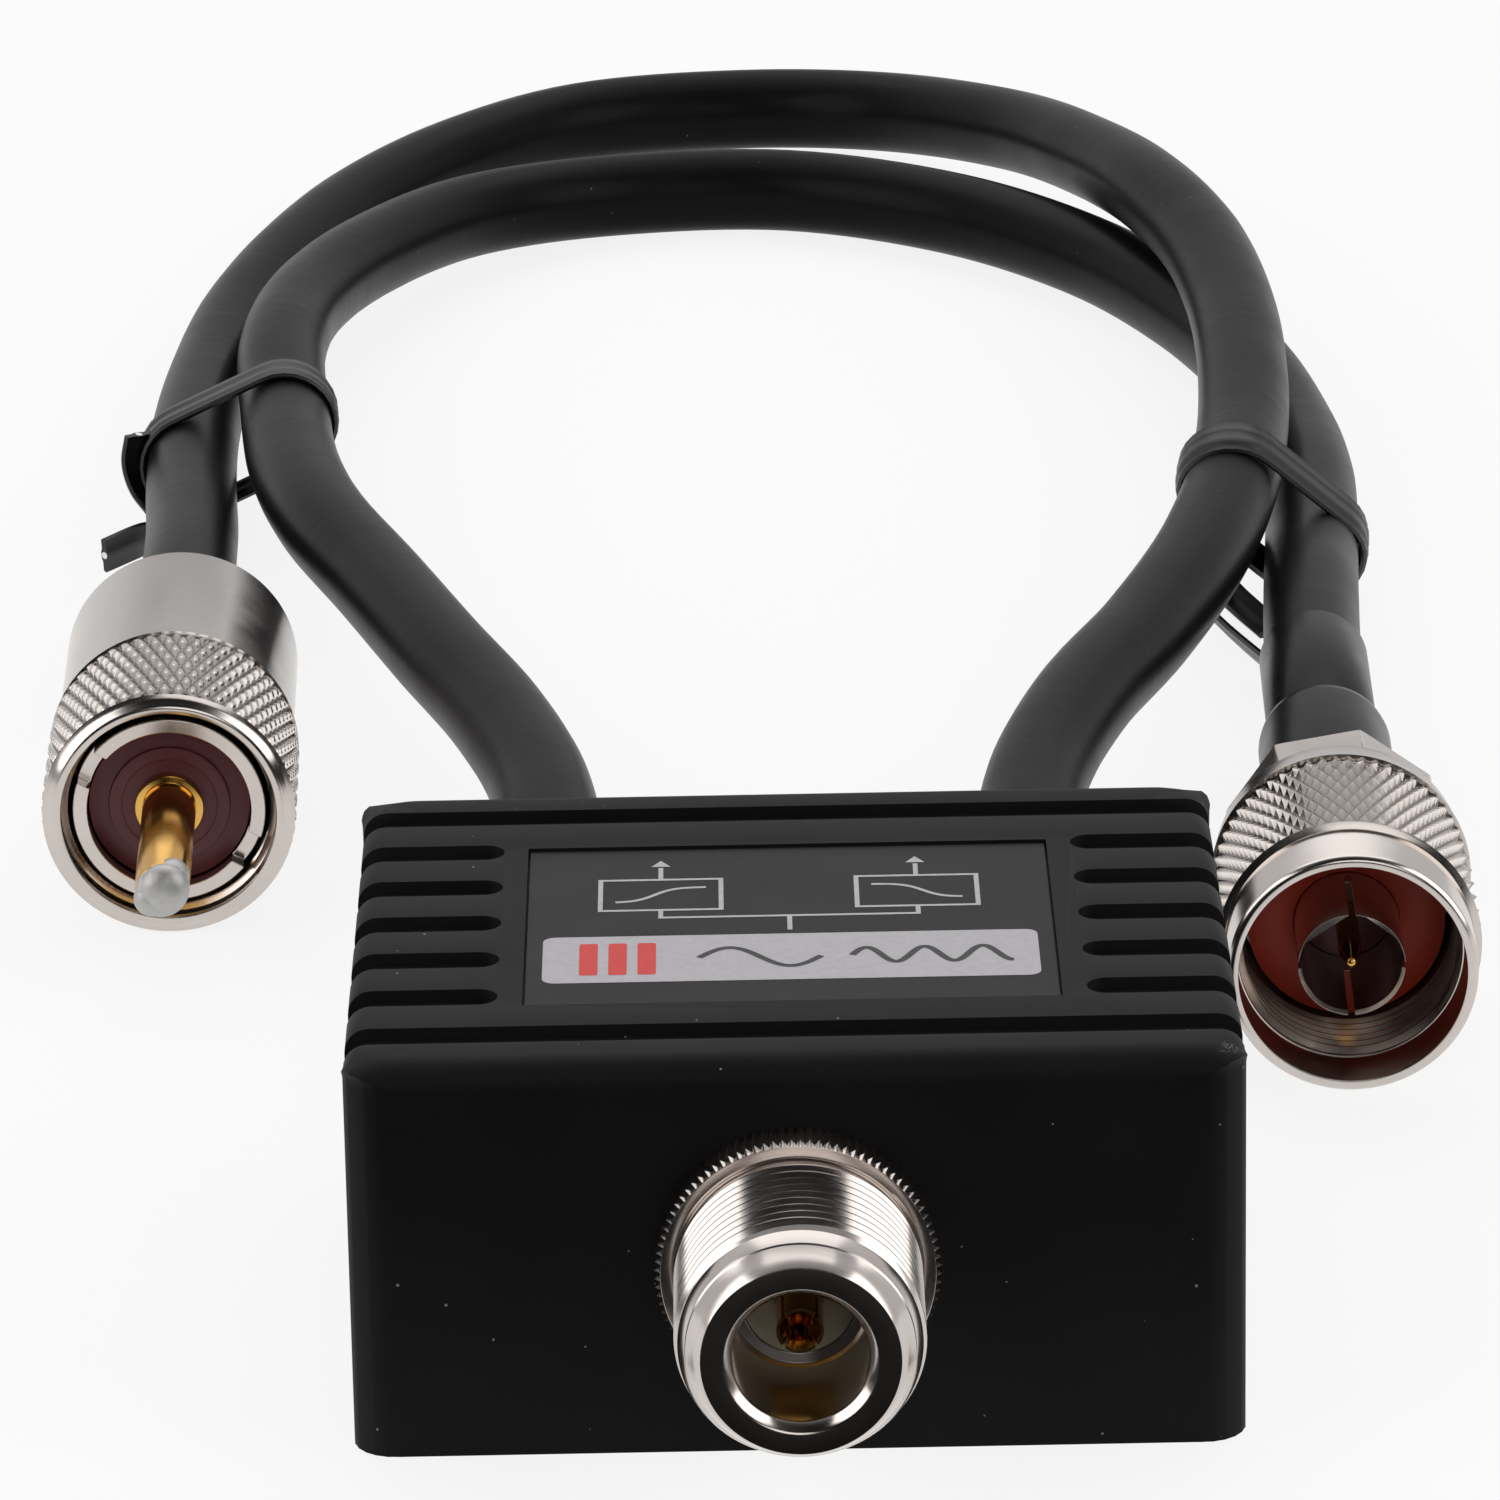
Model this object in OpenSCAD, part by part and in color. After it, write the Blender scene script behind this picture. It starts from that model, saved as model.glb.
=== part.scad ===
// Antenna duplexer: a small die-cast case with a screw-on antenna jack at the front and two coaxial
// leads at the rear. The low band lead ends in a PL plug, the high band lead in an N plug.
// Millimetres. Z is up, the case faces -Y, and the origin is the centre of the case's underside.

/* [Case] */
// Width of the case across the front
case_w = 57.5; // [56:0.5:70]
// Depth of the case from front to rear
case_d = 50; // [49.5:0.5:60]
// Height of the case
case_h = 27; // [27:0.5:34]
// Thickness of the four side walls
case_wall = 2.6; // [2:0.1:3.4]
// Thickness of the top wall
case_top = 3.2; // [2.4:0.1:3.3]
// Radius of the long edges at the left and right of the top
side_edge_r = 1.6; // [1.5:0.1:5]
// Radius of the edges at the front and rear of the top
front_edge_r = 1.9; // [0.6:0.1:3]
// Radius of the four upright corners
corner_r = 3; // [1:0.1:5]
// How far the left and right walls lean in at the top
side_draft = 0; // [0:0.1:1]

/* [Cooling grooves] */
// Number of grooves across the top
groove_count = 7; // [5:2:7]
// Distance between neighbouring grooves
groove_pitch = 6.575; // [6:0.025:7]
// Width of a groove
groove_w = 2.7; // [1.5:0.1:3.5]
// Depth of a groove
groove_depth = 0.9; // [0.4:0.1:1.4]
// Height at which the grooves end on the side walls
groove_foot = 4; // [2:0.5:10]
// Distance from the middle at which the short grooves end
slot_end_x = 19; // [18:0.25:21]

/* [Label] */
// Width of the label's recess
label_w = 34.8; // [28:0.2:36]
// Depth of the label's recess from front to rear
label_d = 28.5; // [22:0.25:30]
// How far the label sits behind the middle of the case
label_shift = -0.5; // [-2:0.1:2]
// Depth of the recess below the top
label_recess = 0.5; // [0.3:0.1:0.8]
// Thickness of the label plate
label_t = 0.3; // [0.1:0.1:0.5]
// Gap between the label and the edge of its recess
label_gap = 0.15; // [0.05:0.05:0.4]

/* [Bottom cover] */
// Thickness of the bottom cover
cover_t = 1.5; // [1.2:0.1:2.5]
// Width of the ledge that the cover lies on
cover_ledge = 1.2; // [0.6:0.1:1.6]
// Gap around the cover
cover_gap = 0.15; // [0.05:0.05:0.4]
// Diameter of the cover screws
screw_d = 2.6; // [2:0.1:3]
// Diameter of the cover screws' countersunk heads
screw_head_d = 4.6; // [4:0.1:5.4]
// Length of the cover screws
screw_len = 6; // [4.5:0.25:6.5]
// Diameter of the screw bosses in the corners
boss_d = 6; // [5:0.25:7]

/* [Antenna jack] */
// How far the jack and the leads lie above the middle of the case's height
port_rise = 0; // [-1:0.25:0.25]
// Outside diameter of the jack's thread
jack_thread_d = 15.875; // [15:0.125:16.5]
// How far the thread reaches out of the case
jack_thread_len = 14; // [11:0.25:16]
// How far the mouth of the jack stands out of the case
jack_len = 16.6; // [15:0.1:19]
// Diameter of the mouth's rim
jack_rim_d = 12.6; // [11:0.1:14]
// Diameter of the jack's bore
jack_bore_d = 8.6; // [8.1:0.1:9.5]
// Depth of the jack's bore
jack_bore_len = 9.5; // [8:0.25:11]
// Diameter of the jack's centre contact
jack_contact_d = 3; // [2.4:0.1:3.4]
// How far the centre contact's tip lies behind the mouth
jack_contact_inset = 4.8; // [4.5:0.1:6]
// Diameter of the knurled ring nut
ring_nut_d = 18.3; // [17.5:0.1:20]
// Thickness of the knurled ring nut
ring_nut_t = 2.7; // [2:0.1:4]
// Diameter of the flange behind the front wall
jack_flange_d = 19.6; // [18.5:0.1:20.2]
// Thickness of the flange
jack_flange_t = 2.2; // [1.5:0.1:3]
// Thickness of the lock washer under the flange
jack_washer_t = 0.8; // [0.5:0.1:1.2]

/* [Leads] */
// Outside diameter of the coaxial leads
lead_d = 7.5; // [6.5:0.1:8]
// Distance of each lead from its side of the case
lead_inset = 12.25; // [11:0.25:12.25]
// Diameter of the leads' inner insulation
dielectric_d = 4.8; // [4:0.1:5.2]
// Diameter of the leads' centre wire
core_wire_d = 1.4; // [1:0.1:2]
// Length of lead jacket inside the case, from the rear face
lead_tail = 15; // [13:0.5:15.5]
// Length of inner insulation bared inside the case
bared_len = 5; // [3:0.5:6]
// Wall thickness of the rubber grommets
grommet_wall = 1.5; // [1:0.1:2]
// Thickness of the grommets' rims
grommet_rim = 1.2; // [0.8:0.1:2]

/* [PL plug] */
// Diameter of the PL plug's knurled grip
pl_knurl_d = 18.8; // [18:0.1:19.2]
// Diameter of the PL plug's smooth sleeve
pl_sleeve_d = 17.7; // [16.4:0.1:18]
// Length of the PL plug's coupling nut
pl_nut_len = 34.5; // [30:0.5:40]
// Length of the knurled grip on the PL plug
pl_knurl_len = 14; // [11:0.5:18]
// Diameter of the thread inside the coupling nuts
coupling_bore_d = 15; // [14.6:0.1:15.4]
// Depth of the thread in the PL plug's coupling nut
pl_bore_len = 14; // [11:0.5:16]
// Diameter of the slotted ring at the front of the PL plug's body
pl_ring_d = 14.2; // [13.6:0.1:14.4]
// How far the slotted ring lies behind the lip of the nut
pl_ring_inset = 1.2; // [1:0.1:5]
// Length of the slotted ring
pl_ring_len = 6.5; // [4:0.5:7]
// Diameter of the barrel that the PL plug's nut turns on
pl_barrel_d = 12.8; // [12:0.1:13.2]
// Length of the PL plug's body behind the slotted ring
pl_barrel_len = 19; // [16:0.5:22]
// Diameter of the PL plug's pin
pl_pin_d = 3.96; // [3.6:0.02:4.2]
// How far the pin stands out of the nut
pl_pin_proud = 15.5; // [8:0.5:16]
// Diameter of the brown insulator
pl_insulator_d = 12; // [10:0.1:12.4]

/* [N plug] */
// Diameter of the N plug's knurled grip
n_knurl_d = 18.8; // [18.4:0.1:19.4]
// Diameter of the smooth collar at the N plug's lip
n_collar_d = 17.6; // [17:0.1:18]
// Length of the smooth collar
n_collar_len = 5.4; // [4:0.1:7]
// Length of the knurled grip on the N plug
n_knurl_len = 13.5; // [11:0.5:16]
// Diameter of the smooth rim behind the grip
n_rim_d = 18; // [17:0.1:18.4]
// Length of the smooth rim
n_rim_len = 2.7; // [1.5:0.1:4]
// Length of the wrench flats behind the rim
n_flats_len = 6; // [5:0.25:8]
// Size across the wrench flats
n_flats = 15.1; // [14.6:0.1:15.6]
// Diameter of the barrel that the N plug's nut turns on
n_barrel_d = 11; // [10:0.1:12]
// Diameter of the N plug's flange, which holds the gasket
n_flange_d = 14.2; // [13.4:0.1:14.2]
// Outside diameter of the slotted outer contact
n_contact_d = 7.5; // [7:0.1:8.4]
// Wall thickness of the slotted outer contact
n_contact_wall = 0.4; // [0.4:0.05:0.8]
// How far the outer contact lies behind the lip
n_contact_inset = 1.8; // [1:0.1:3]
// How far the flange lies behind the lip
n_flange_inset = 11.5; // [10.5:0.25:12.5]
// Thickness of the N plug's gasket
n_gasket_t = 1.2; // [0.8:0.1:2]
// Diameter of the N plug's centre pin
n_pin_d = 1.6; // [1.2:0.1:2]
// Diameter of the crimped ferrule behind the N plug's barrel
n_ferrule_d = 8.4; // [8:0.1:9]
// Wall thickness of the large black sleeve
n_boot_wall = 0.75; // [0.5:0.05:1.2]
// Length of the large black sleeve
n_boot_len = 18.4; // [14:0.1:24]
// Wall thickness of the small black sleeve
n_sleeve_wall = 0.4; // [0.3:0.05:0.8]
// Length of the small black sleeve
n_sleeve_len = 19; // [14:0.5:24]

/* [Filter] */
// Gap between the circuit board and the side walls
board_gap = 2.5; // [1.5:0.1:3]
// Thickness of the circuit board
board_t = 1.6; // [1:0.1:2]
// Height of the circuit board's underside
board_z = 6; // [5:0.25:6.5]
// Diameter of the coils' winding
coil_d = 7; // [5:0.25:7.5]
// Thickness of the coils' wire
coil_wire = 1; // [0.6:0.1:1.2]
// Distance between the coils' turns
coil_pitch = 1.8; // [1.7:0.1:2]
// Turns of each low band coil
low_turns = 3; // [2:1:3]
// Turns of each high band coil
high_turns = 2; // [1:1:3]
// Diameter of the capacitors
capacitor_d = 6; // [4:0.5:6]
// Thickness of the capacitors
capacitor_t = 1.8; // [1:0.1:2.5]
// Thickness of the screen between the two filters
screen_t = 0.5; // [0.3:0.1:1]

/* [Cable ties] */
// Width of the cable ties
tie_w = 3.2; // [2.6:0.1:3.6]
// Thickness of the cable ties
tie_t = 0.6; // [0.4:0.05:0.8]
// Gap between a tie and its leads
tie_gap = 0.2; // [0.15:0.05:0.35]
// How far a tie's second turn lies beside its first
tie_step = 1.6; // [0.8:0.1:2]

/* [Hidden] */
$fn = 64;

// Gap around a screw, a pressed-in piece or a wire in its hole
slip = 0.05;
// Radial gap of a coupling nut that turns on its barrel
turn_gap = 0.08;
// Distance that a cutting shape reaches past the face that it opens
past = 1;
// How far the plugs stay above the floor
floor_gap = 0.1;
// Points on each rounded corner of an outline
corner_steps = 6;

// Inside of the case
room_w = case_w - 2 * (case_wall + side_draft);
room_d = case_d - 2 * case_wall;
room_top = case_h - case_top;
front_y = -case_d / 2;
rear_y = case_d / 2;
port_z = case_h / 2 + port_rise;
lead_x = case_w / 2 - lead_inset;
cover_room_r = max(corner_r - case_wall + cover_ledge, 0.5);

// Lead entries
grommet_d = lead_d + 2 * grommet_wall;
grommet_rim_d = grommet_d + 2.4;
clamp_wall = 0.9;
clamp_w = lead_d + 2 * clamp_wall;

// Screw bosses of the cover, which end below the lead entries
boss_sink = 0.2;
boss_x = room_w / 2 - boss_d / 2 + boss_sink;
boss_y = room_d / 2 - boss_d / 2 + boss_sink;
boss_top = port_z - grommet_rim_d / 2 - 0.3;

// Circuit board, and the posts that it hangs on
board_w = room_w - 2 * board_gap;
board_d = room_d - 2 * (boss_d + 1.4);
board_top = board_z + board_t;
board_shift = 1;
board_front_y = board_shift - board_d / 2;
board_rear_y = board_shift + board_d / 2;
board_boss_d = 5;
front_post_x = board_w / 2 - board_boss_d / 2 - 0.1;
rear_post_x = (lead_x - clamp_w / 2) / 2;
board_screw_d = 2;
board_screw_head_d = 3.8;
board_screw_head = 1.3;
board_screw_len = 7;
board_posts = [
    for (s = [-1, 1])
        each [[s * front_post_x, board_front_y + 4.5], [s * rear_post_x, board_rear_y - 3.5]]
];

// Lead ends inside the case
jacket_end_y = rear_y - lead_tail;
bared_end_y = jacket_end_y - bared_len;
clamp_len = 4.5;
clamp_inset = 1;

// Jack, measured outwards from the front face
jack_shoulder = -(case_wall + jack_washer_t);
jack_flange_back = jack_shoulder - jack_flange_t;
flange_room = 0.25;
jack_tail_back = jack_flange_back - 3;
jack_seat = jack_len - jack_bore_len;
jack_neck_d = jack_thread_d - 0.4;
jack_thread_start = ring_nut_t + 0.3;
jack_insulator_d = jack_bore_d - 1.4;
jack_solder_d = 2;
jack_solder_len = 5;
jack_wire_d = 1.2;

// Plugs: the middle of each lip, and how far each plug is turned on the floor
pl_lip = [-45.2, 68.4, max(pl_knurl_d, pl_sleeve_d) / 2 + floor_gap];
pl_turn = 1.2;
n_lip = [39.5, 32.2, n_knurl_d / 2 + floor_gap];
n_turn = -1.4;

// Knurled grips of both plugs: diamond points between crossed grooves
knurl_cuts = 56;
knurl_depth = 0.45;
knurl_core = knurl_depth + slip;
pl_knurl_rise = 3.5;
n_knurl_rise = 2.7;

// PL plug, measured back from the lip
pl_lip_len = 0.8;
pl_knurl_end = pl_lip_len + pl_knurl_len;
pl_shoulder = pl_ring_inset + pl_ring_len;
pl_body_end = pl_shoulder + pl_barrel_len;
pl_bearing_len = 8;
pl_bearing_end = pl_bore_len + pl_bearing_len;
pl_back_bore_d = pl_sleeve_d - 2.2;
pl_lead_seat = pl_shoulder + 6;
pl_insulator_front = pl_ring_inset + 1.5;
pl_insulator_back = pl_shoulder + 1;
pl_pin_step = pl_insulator_front - 0.2;
pl_foot_front = pl_insulator_front - 1.1;
pl_foot_d = pl_pin_d + 1.1;
pl_shank_d = pl_pin_d - 0.8;
pl_pin_bore_d = pl_pin_d - 1.6;

// N plug, measured back from the lip
n_knurl_start = n_collar_len + 0.6;
n_knurl_end = n_knurl_start + n_knurl_len;
n_rim_end = n_knurl_end + n_rim_len;
n_nut_len = n_rim_end + n_flats_len;
n_flat_count = 8;
n_bore_len = n_flange_inset + 5;
n_flange_end = n_flange_inset + 4.5;
n_snap_at = n_nut_len - 6;
n_snap_t = 1;
n_barrel_end = n_nut_len + 0.4;
n_insulator_d = n_contact_d - 2 * n_contact_wall - 0.1;
n_stem_d = dielectric_d + 1.2;
n_stem_end = n_barrel_end + 7;
n_ferrule_end = n_barrel_end + 11;
n_boot_end = n_barrel_end + n_boot_len;
n_sleeve_end = n_boot_end + n_sleeve_len;

// A place on a plug's axis, a given distance back from its lip
function plug_place(lip, turn, back) = lip + back * [-sin(turn), cos(turn), 0];

// High band lead: out of the left of the rear wall, round the inner loop and under the other lead
// into the N plug. Low band lead: out of the right, over the other lead, round the outer loop and
// into the PL plug.
high_band_route = concat(
    [[-lead_x, jacket_end_y, port_z], [-lead_x, rear_y, port_z]],
    [
        [-16.5, 43, 13.5], [-17.5, 61, 13.5], [-21, 78.5, 13], [-26, 95.5, 12.5], [-31, 113, 12],
        [-36, 130, 11.5], [-39, 147, 10.5], [-40.5, 164.5, 9.5], [-41.5, 183, 9.2], [-40, 201.5, 8],
        [-35, 220, 6.5], [-26.5, 236.5, 5], [-13.5, 245.5, 4], [2.5, 246, 4], [17.5, 237.5, 4],
        [29, 223.5, 4], [36.5, 207.5, 4], [41.5, 190.5, 4], [44, 172.5, 4.2], [44.5, 154, 5.5],
        [43.5, 136, 6.5], [42.2, 117, 8.5]
    ],
    [for (back = [n_sleeve_end, n_boot_end, n_ferrule_end]) plug_place(n_lip, n_turn, back)]
);
low_band_route = concat(
    [[lead_x, jacket_end_y, port_z], [lead_x, rear_y, port_z]],
    [
        [17, 43, 13.5], [18.5, 61.5, 13.5], [22.5, 78.5, 13.5], [28, 95, 13], [33, 112, 13],
        [36.5, 129, 13], [38.5, 146, 12.5], [39.5, 163.5, 12.5], [39.5, 181, 12.5], [38, 199, 12.5],
        [34.5, 216.5, 12], [30, 234.5, 10], [23.5, 252.5, 7.5], [12.5, 268, 5], [-1.5, 273.5, 4],
        [-17, 270, 4], [-29, 258, 4], [-37.5, 242.5, 4], [-43, 225.5, 4], [-46.5, 208.5, 4],
        [-48, 191, 4.5], [-48.5, 173, 5.5], [-48, 155, 6.5], [-47, 137.5, 8], [-46.5, 120, 9.2]
    ],
    [for (back = [pl_nut_len, pl_body_end, pl_lead_seat]) plug_place(pl_lip, pl_turn, back)]
);
lead_sides = 10;
// A stretch of lead between two route points gets a ring in its middle where it turns more than this
bend_limit = 14;

// Ties: the two leads' middles at each tie, how far back the tie lies, the leads' turn and dip there,
// and how far the tie leans
left_tie_leads = [[-40.4, 9.55], [-48.3, 6]];
left_tie_y = 163.5;
left_tie_turn = 3.3;
left_tie_dip = -3.2;
left_tie_lean = 0;
right_tie_leads = [[43.35, 6.7], [37, 12.92]];
right_tie_y = 133.1;
right_tie_turn = -4.9;
right_tie_dip = -2.5;
right_tie_lean = 26.5;
// Each tie's two free ends: their places, and the direction that each is broad in there
left_tie_up = [
    [[-52.1, 162.3, 3.5], [0, 1, 0]], [[-52.75, 161.9, 5.2], [0.1, 1, 0]],
    [[-52.8, 161.6, 6.8], [0.25, 0.97, 0]], [[-52.45, 161.4, 8.5], [0.5, 0.86, 0.1]]
];
left_tie_out = [
    [[-49.75, 161, 1.75], [1, 0, 0]], [[-50.2, 157, 1.75], [0.95, 0.3, 0]],
    [[-51.2, 154.8, 1.95], [0.6, 0.4, 0.6]], [[-52.3, 152.6, 2.55], [0.2, 0.3, 0.86]],
    [[-55, 149.2, 2.45], [0.2, 0.3, 0.86]]
];
right_tie_under = [
    [[35.2, 134.5, 8.75], [0.94, 0.33, 0]], [[34.9, 137, 5], [0.94, 0.33, 0]],
    [[36.2, 137.2, 2.4], [0.94, 0.33, 0]], [[38.1, 132, 1.9], [0.94, 0.33, 0]],
    [[40, 126, 1.9], [0.94, 0.33, 0]]
];
right_tie_out = [
    [[34.9, 132.5, 9], [0.3, 0.6, -0.7]], [[33.6, 132.8, 5.5], [0.3, 0.6, -0.7]],
    [[34.6, 130.8, 2.9], [0.5, 0.3, -0.8]], [[36.4, 126, 2.1], [0.57, 0.18, -0.8]],
    [[39, 118, 2.1], [0.57, 0.18, -0.8]], [[40.5, 114, 2.1], [0.57, 0.18, -0.8]]
];

// Coils stand on the board by their two ends: the middle of each winding's front end
coil_row_y = board_front_y + 5;
coil_space = 0.4;
inner_coil_x = screen_t / 2 + coil_space + coil_d / 2;
outer_coil_x = inner_coil_x + coil_d + coil_space;
low_coils = [[inner_coil_x, coil_row_y], [outer_coil_x, coil_row_y], [inner_coil_x, coil_row_y + 10]];
high_coils = [[-inner_coil_x, coil_row_y], [-outer_coil_x, coil_row_y]];
coil_sides = 6;
coil_steps = 8;
coil_lift = 1.2;
capacitor_x = inner_coil_x + (coil_d + capacitor_d) / 2 + coil_space;
low_capacitors = [[capacitor_x, 0], [outer_coil_x, board_front_y + 2.5]];
high_capacitors = [[-capacitor_x, 0], [-inner_coil_x, 3.2]];
capacitor_leg_d = 0.6;
capacitor_lift = 1.5;

// Outlines
function arc(middle, r, from, to) =
    [for (i = [0:corner_steps]) let (a = from + (to - from) * i / corner_steps)
        middle + r * [cos(a), sin(a)]];
function round_box(w, d, r) = concat(
    arc([w / 2 - r, d / 2 - r], r, 0, 90), arc([r - w / 2, d / 2 - r], r, 90, 180),
    arc([r - w / 2, r - d / 2], r, 180, 270), arc([w / 2 - r, r - d / 2], r, 270, 360)
);
// A wall's end view: straight sides that lean in, and two round corners at the top
function end_view(w, h, r, draft) = concat(
    [[-w / 2, 0], [w / 2, 0]],
    arc([w / 2 - draft - r, h - r], r, 0, 90), arc([r + draft - w / 2, h - r], r, 90, 180)
);

// Sweeping an outline along points; sides holds, for each point, a direction that the path doesn't run in
function unit(v) = v / norm(v);
function heading(path, i) = unit(path[min(i + 1, len(path) - 1)] - path[max(i - 1, 0)]);
function round_outline(r, sides) =
    [for (k = [0:sides - 1]) r * [cos(360 * k / sides), sin(360 * k / sides)]];
function flat_outline(t, w) = [[t, -w] / 2, [t, w] / 2, [-t, w] / 2, [-t, -w] / 2];
function ring_points(path, i, outline, side) =
    let (t = heading(path, i), u = unit(cross(side, t)), v = cross(t, u))
    [for (place = outline) path[i] + place[0] * u + place[1] * v];
module swept(path, outline, sides) {
    count = len(path);
    corners = len(outline);
    last = (count - 1) * corners;
    points = [for (i = [0:count - 1]) each ring_points(path, i, outline, sides[i % len(sides)])];
    skin = [
        for (i = [0:count - 2], k = [0:corners - 1])
            let (a = i * corners + k, b = i * corners + (k + 1) % corners)
            each [[a, b + corners, b], [a, a + corners, b + corners]]
    ];
    front_cap = [for (k = [1:corners - 2]) [0, k, k + 1]];
    back_cap = [for (k = [1:corners - 2]) [last, last + k + 1, last + k]];
    polyhedron(points, concat(skin, front_cap, back_cap), convexity = 10);
}

// A smooth curve through a route's points
function curve_place(a, b, c, d, t) =
    0.5 * (2 * b + (c - a) * t + (2 * a - 5 * b + 4 * c - d) * t * t
        + (3 * b - a - 3 * c + d) * t * t * t);
function bend(route, i) =
    i < 1 || i > len(route) - 2 ? 0
        : acos(min(1, unit(route[i] - route[i - 1]) * unit(route[i + 1] - route[i])));
function lead_path(route) = concat(
    [
        for (i = [0:len(route) - 2])
            let (
                a = i > 0 ? route[i - 1] : 2 * route[0] - route[1],
                b = route[i],
                c = route[i + 1],
                d = i < len(route) - 2 ? route[i + 2] : 2 * c - b,
                steps = max(bend(route, i), bend(route, i + 1)) > bend_limit ? 2 : 1
            )
            for (k = [0:steps - 1]) curve_place(a, b, c, d, k / steps)
    ],
    [route[len(route) - 1]]
);

// A coil's wire: up from the board, round its turns and down to the board again
function coil_path(turns, r) = concat(
    [[r, 0, -r - coil_lift]],
    [
        for (i = [0:coil_steps * (turns + 0.5)])
            [r * cos(360 * i / coil_steps), coil_pitch * i / coil_steps, r * sin(360 * i / coil_steps)]
    ],
    [[-r, coil_pitch * (turns + 0.5), -r - coil_lift]]
);
// The least gap between two stretches of the wire that lie more than half a turn apart
function coil_gap(path) = min([
    for (i = [0:len(path) - 2], j = [i + coil_steps / 2 + 1:1:len(path) - 1]) norm(path[i] - path[j])
]) - coil_wire;
echo(low_coil_gap = coil_gap(coil_path(low_turns, (coil_d - coil_wire) / 2)));
echo(high_coil_gap = coil_gap(coil_path(high_turns, (coil_d - coil_wire) / 2)));

// A knurled band around the z axis, lowered to the grooves' floor at both ends
module knurl(d, from, to, rise) {
    columns = 2 * knurl_cuts;
    rows = 2 * round((to - from) / rise);
    floor_r = d / 2 - knurl_depth;
    inner_r = floor_r - 8 * slip;
    inner = columns * (rows + 1);
    function around(i, r, z) = [r * cos(360 * i / columns), r * sin(360 * i / columns), z];
    function is_point(i, j) = j > 0 && j < rows && (i + j) % 2 == 1;
    points = concat(
        [
            for (j = [0:rows], i = [0:columns - 1])
                around(i, is_point(i, j) ? d / 2 : floor_r, from + (to - from) * j / rows)
        ],
        [for (z = [from, to], i = [0:columns - 1]) around(i, inner_r, z)]
    );
    skin = [
        for (j = [0:rows - 1], i = [0:columns - 1])
            let (
                next = (i + 1) % columns,
                a = i + j * columns,
                b = next + j * columns,
                c = b + columns,
                e = a + columns
            )
            each (i + j) % 2 == 1 ? [[a, e, b], [b, e, c]] : [[a, e, c], [a, c, b]]
    ];
    back = [
        for (i = [0:columns - 1])
            let (
                next = (i + 1) % columns,
                top = rows * columns,
                p = inner + i,
                q = inner + next
            )
            each [
                [i, next, q, p],
                [top + i, p + columns, q + columns, top + next],
                [p, q, q + columns, p + columns]
            ]
    ];
    polyhedron(points, concat(skin, back));
}

// Placing: outwards from the front face along the jack's axis, and back from each plug's lip
module at_jack() {
    translate([0, front_y, port_z]) rotate([90, 0, 0]) children();
}
module at_pl() {
    translate(pl_lip) rotate([0, 0, pl_turn]) rotate([-90, 0, 0]) children();
}
module at_n() {
    translate(n_lip) rotate([0, 0, n_turn]) rotate([-90, 0, 0]) children();
}
module at_corners(x, y) {
    for (sx = [-1, 1], sy = [-1, 1]) translate([sx * x, sy * y, 0]) children();
}

// Ring with a round hole, from one height to another
module ring(outer_d, inner_d, from, to) {
    translate([0, 0, from])
        difference() {
            cylinder(d = outer_d, h = to - from);
            translate([0, 0, -past]) cylinder(d = inner_d, h = to - from + 2 * past);
        }
}

// Case
module case_outline() {
    intersection() {
        translate([0, rear_y, 0])
            rotate([90, 0, 0])
                linear_extrude(case_d) polygon(end_view(case_w, case_h, side_edge_r, side_draft));
        translate([-case_w / 2, 0, 0])
            rotate([90, 0, 90])
                linear_extrude(case_w) polygon(end_view(case_d, case_h, front_edge_r, 0));
        linear_extrude(case_h) polygon(round_box(case_w, case_d, corner_r));
    }
}

// What a groove takes away: everything outside an outline that lies one groove depth in
module groove_band(y) {
    translate([0, y + groove_w / 2, 0])
        rotate([90, 0, 0])
            linear_extrude(groove_w)
                difference() {
                    translate([-case_w, groove_foot]) square([2 * case_w, case_h]);
                    polygon(end_view(
                        case_w - 2 * groove_depth, case_h - groove_depth,
                        max(side_edge_r - groove_depth, 0.2), side_draft
                    ));
                }
}

// A short groove runs in from each side wall and has a round end
module short_groove(y) {
    intersection() {
        groove_band(y);
        for (s = [-1, 1]) {
            end_x = s * (slot_end_x + groove_w / 2);
            translate([end_x, y, 0]) cylinder(d = groove_w, h = case_h + past);
            translate([end_x + (s < 0 ? -case_w : 0), y - groove_w / 2, 0])
                cube([case_w, groove_w, case_h + past]);
        }
    }
}

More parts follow.
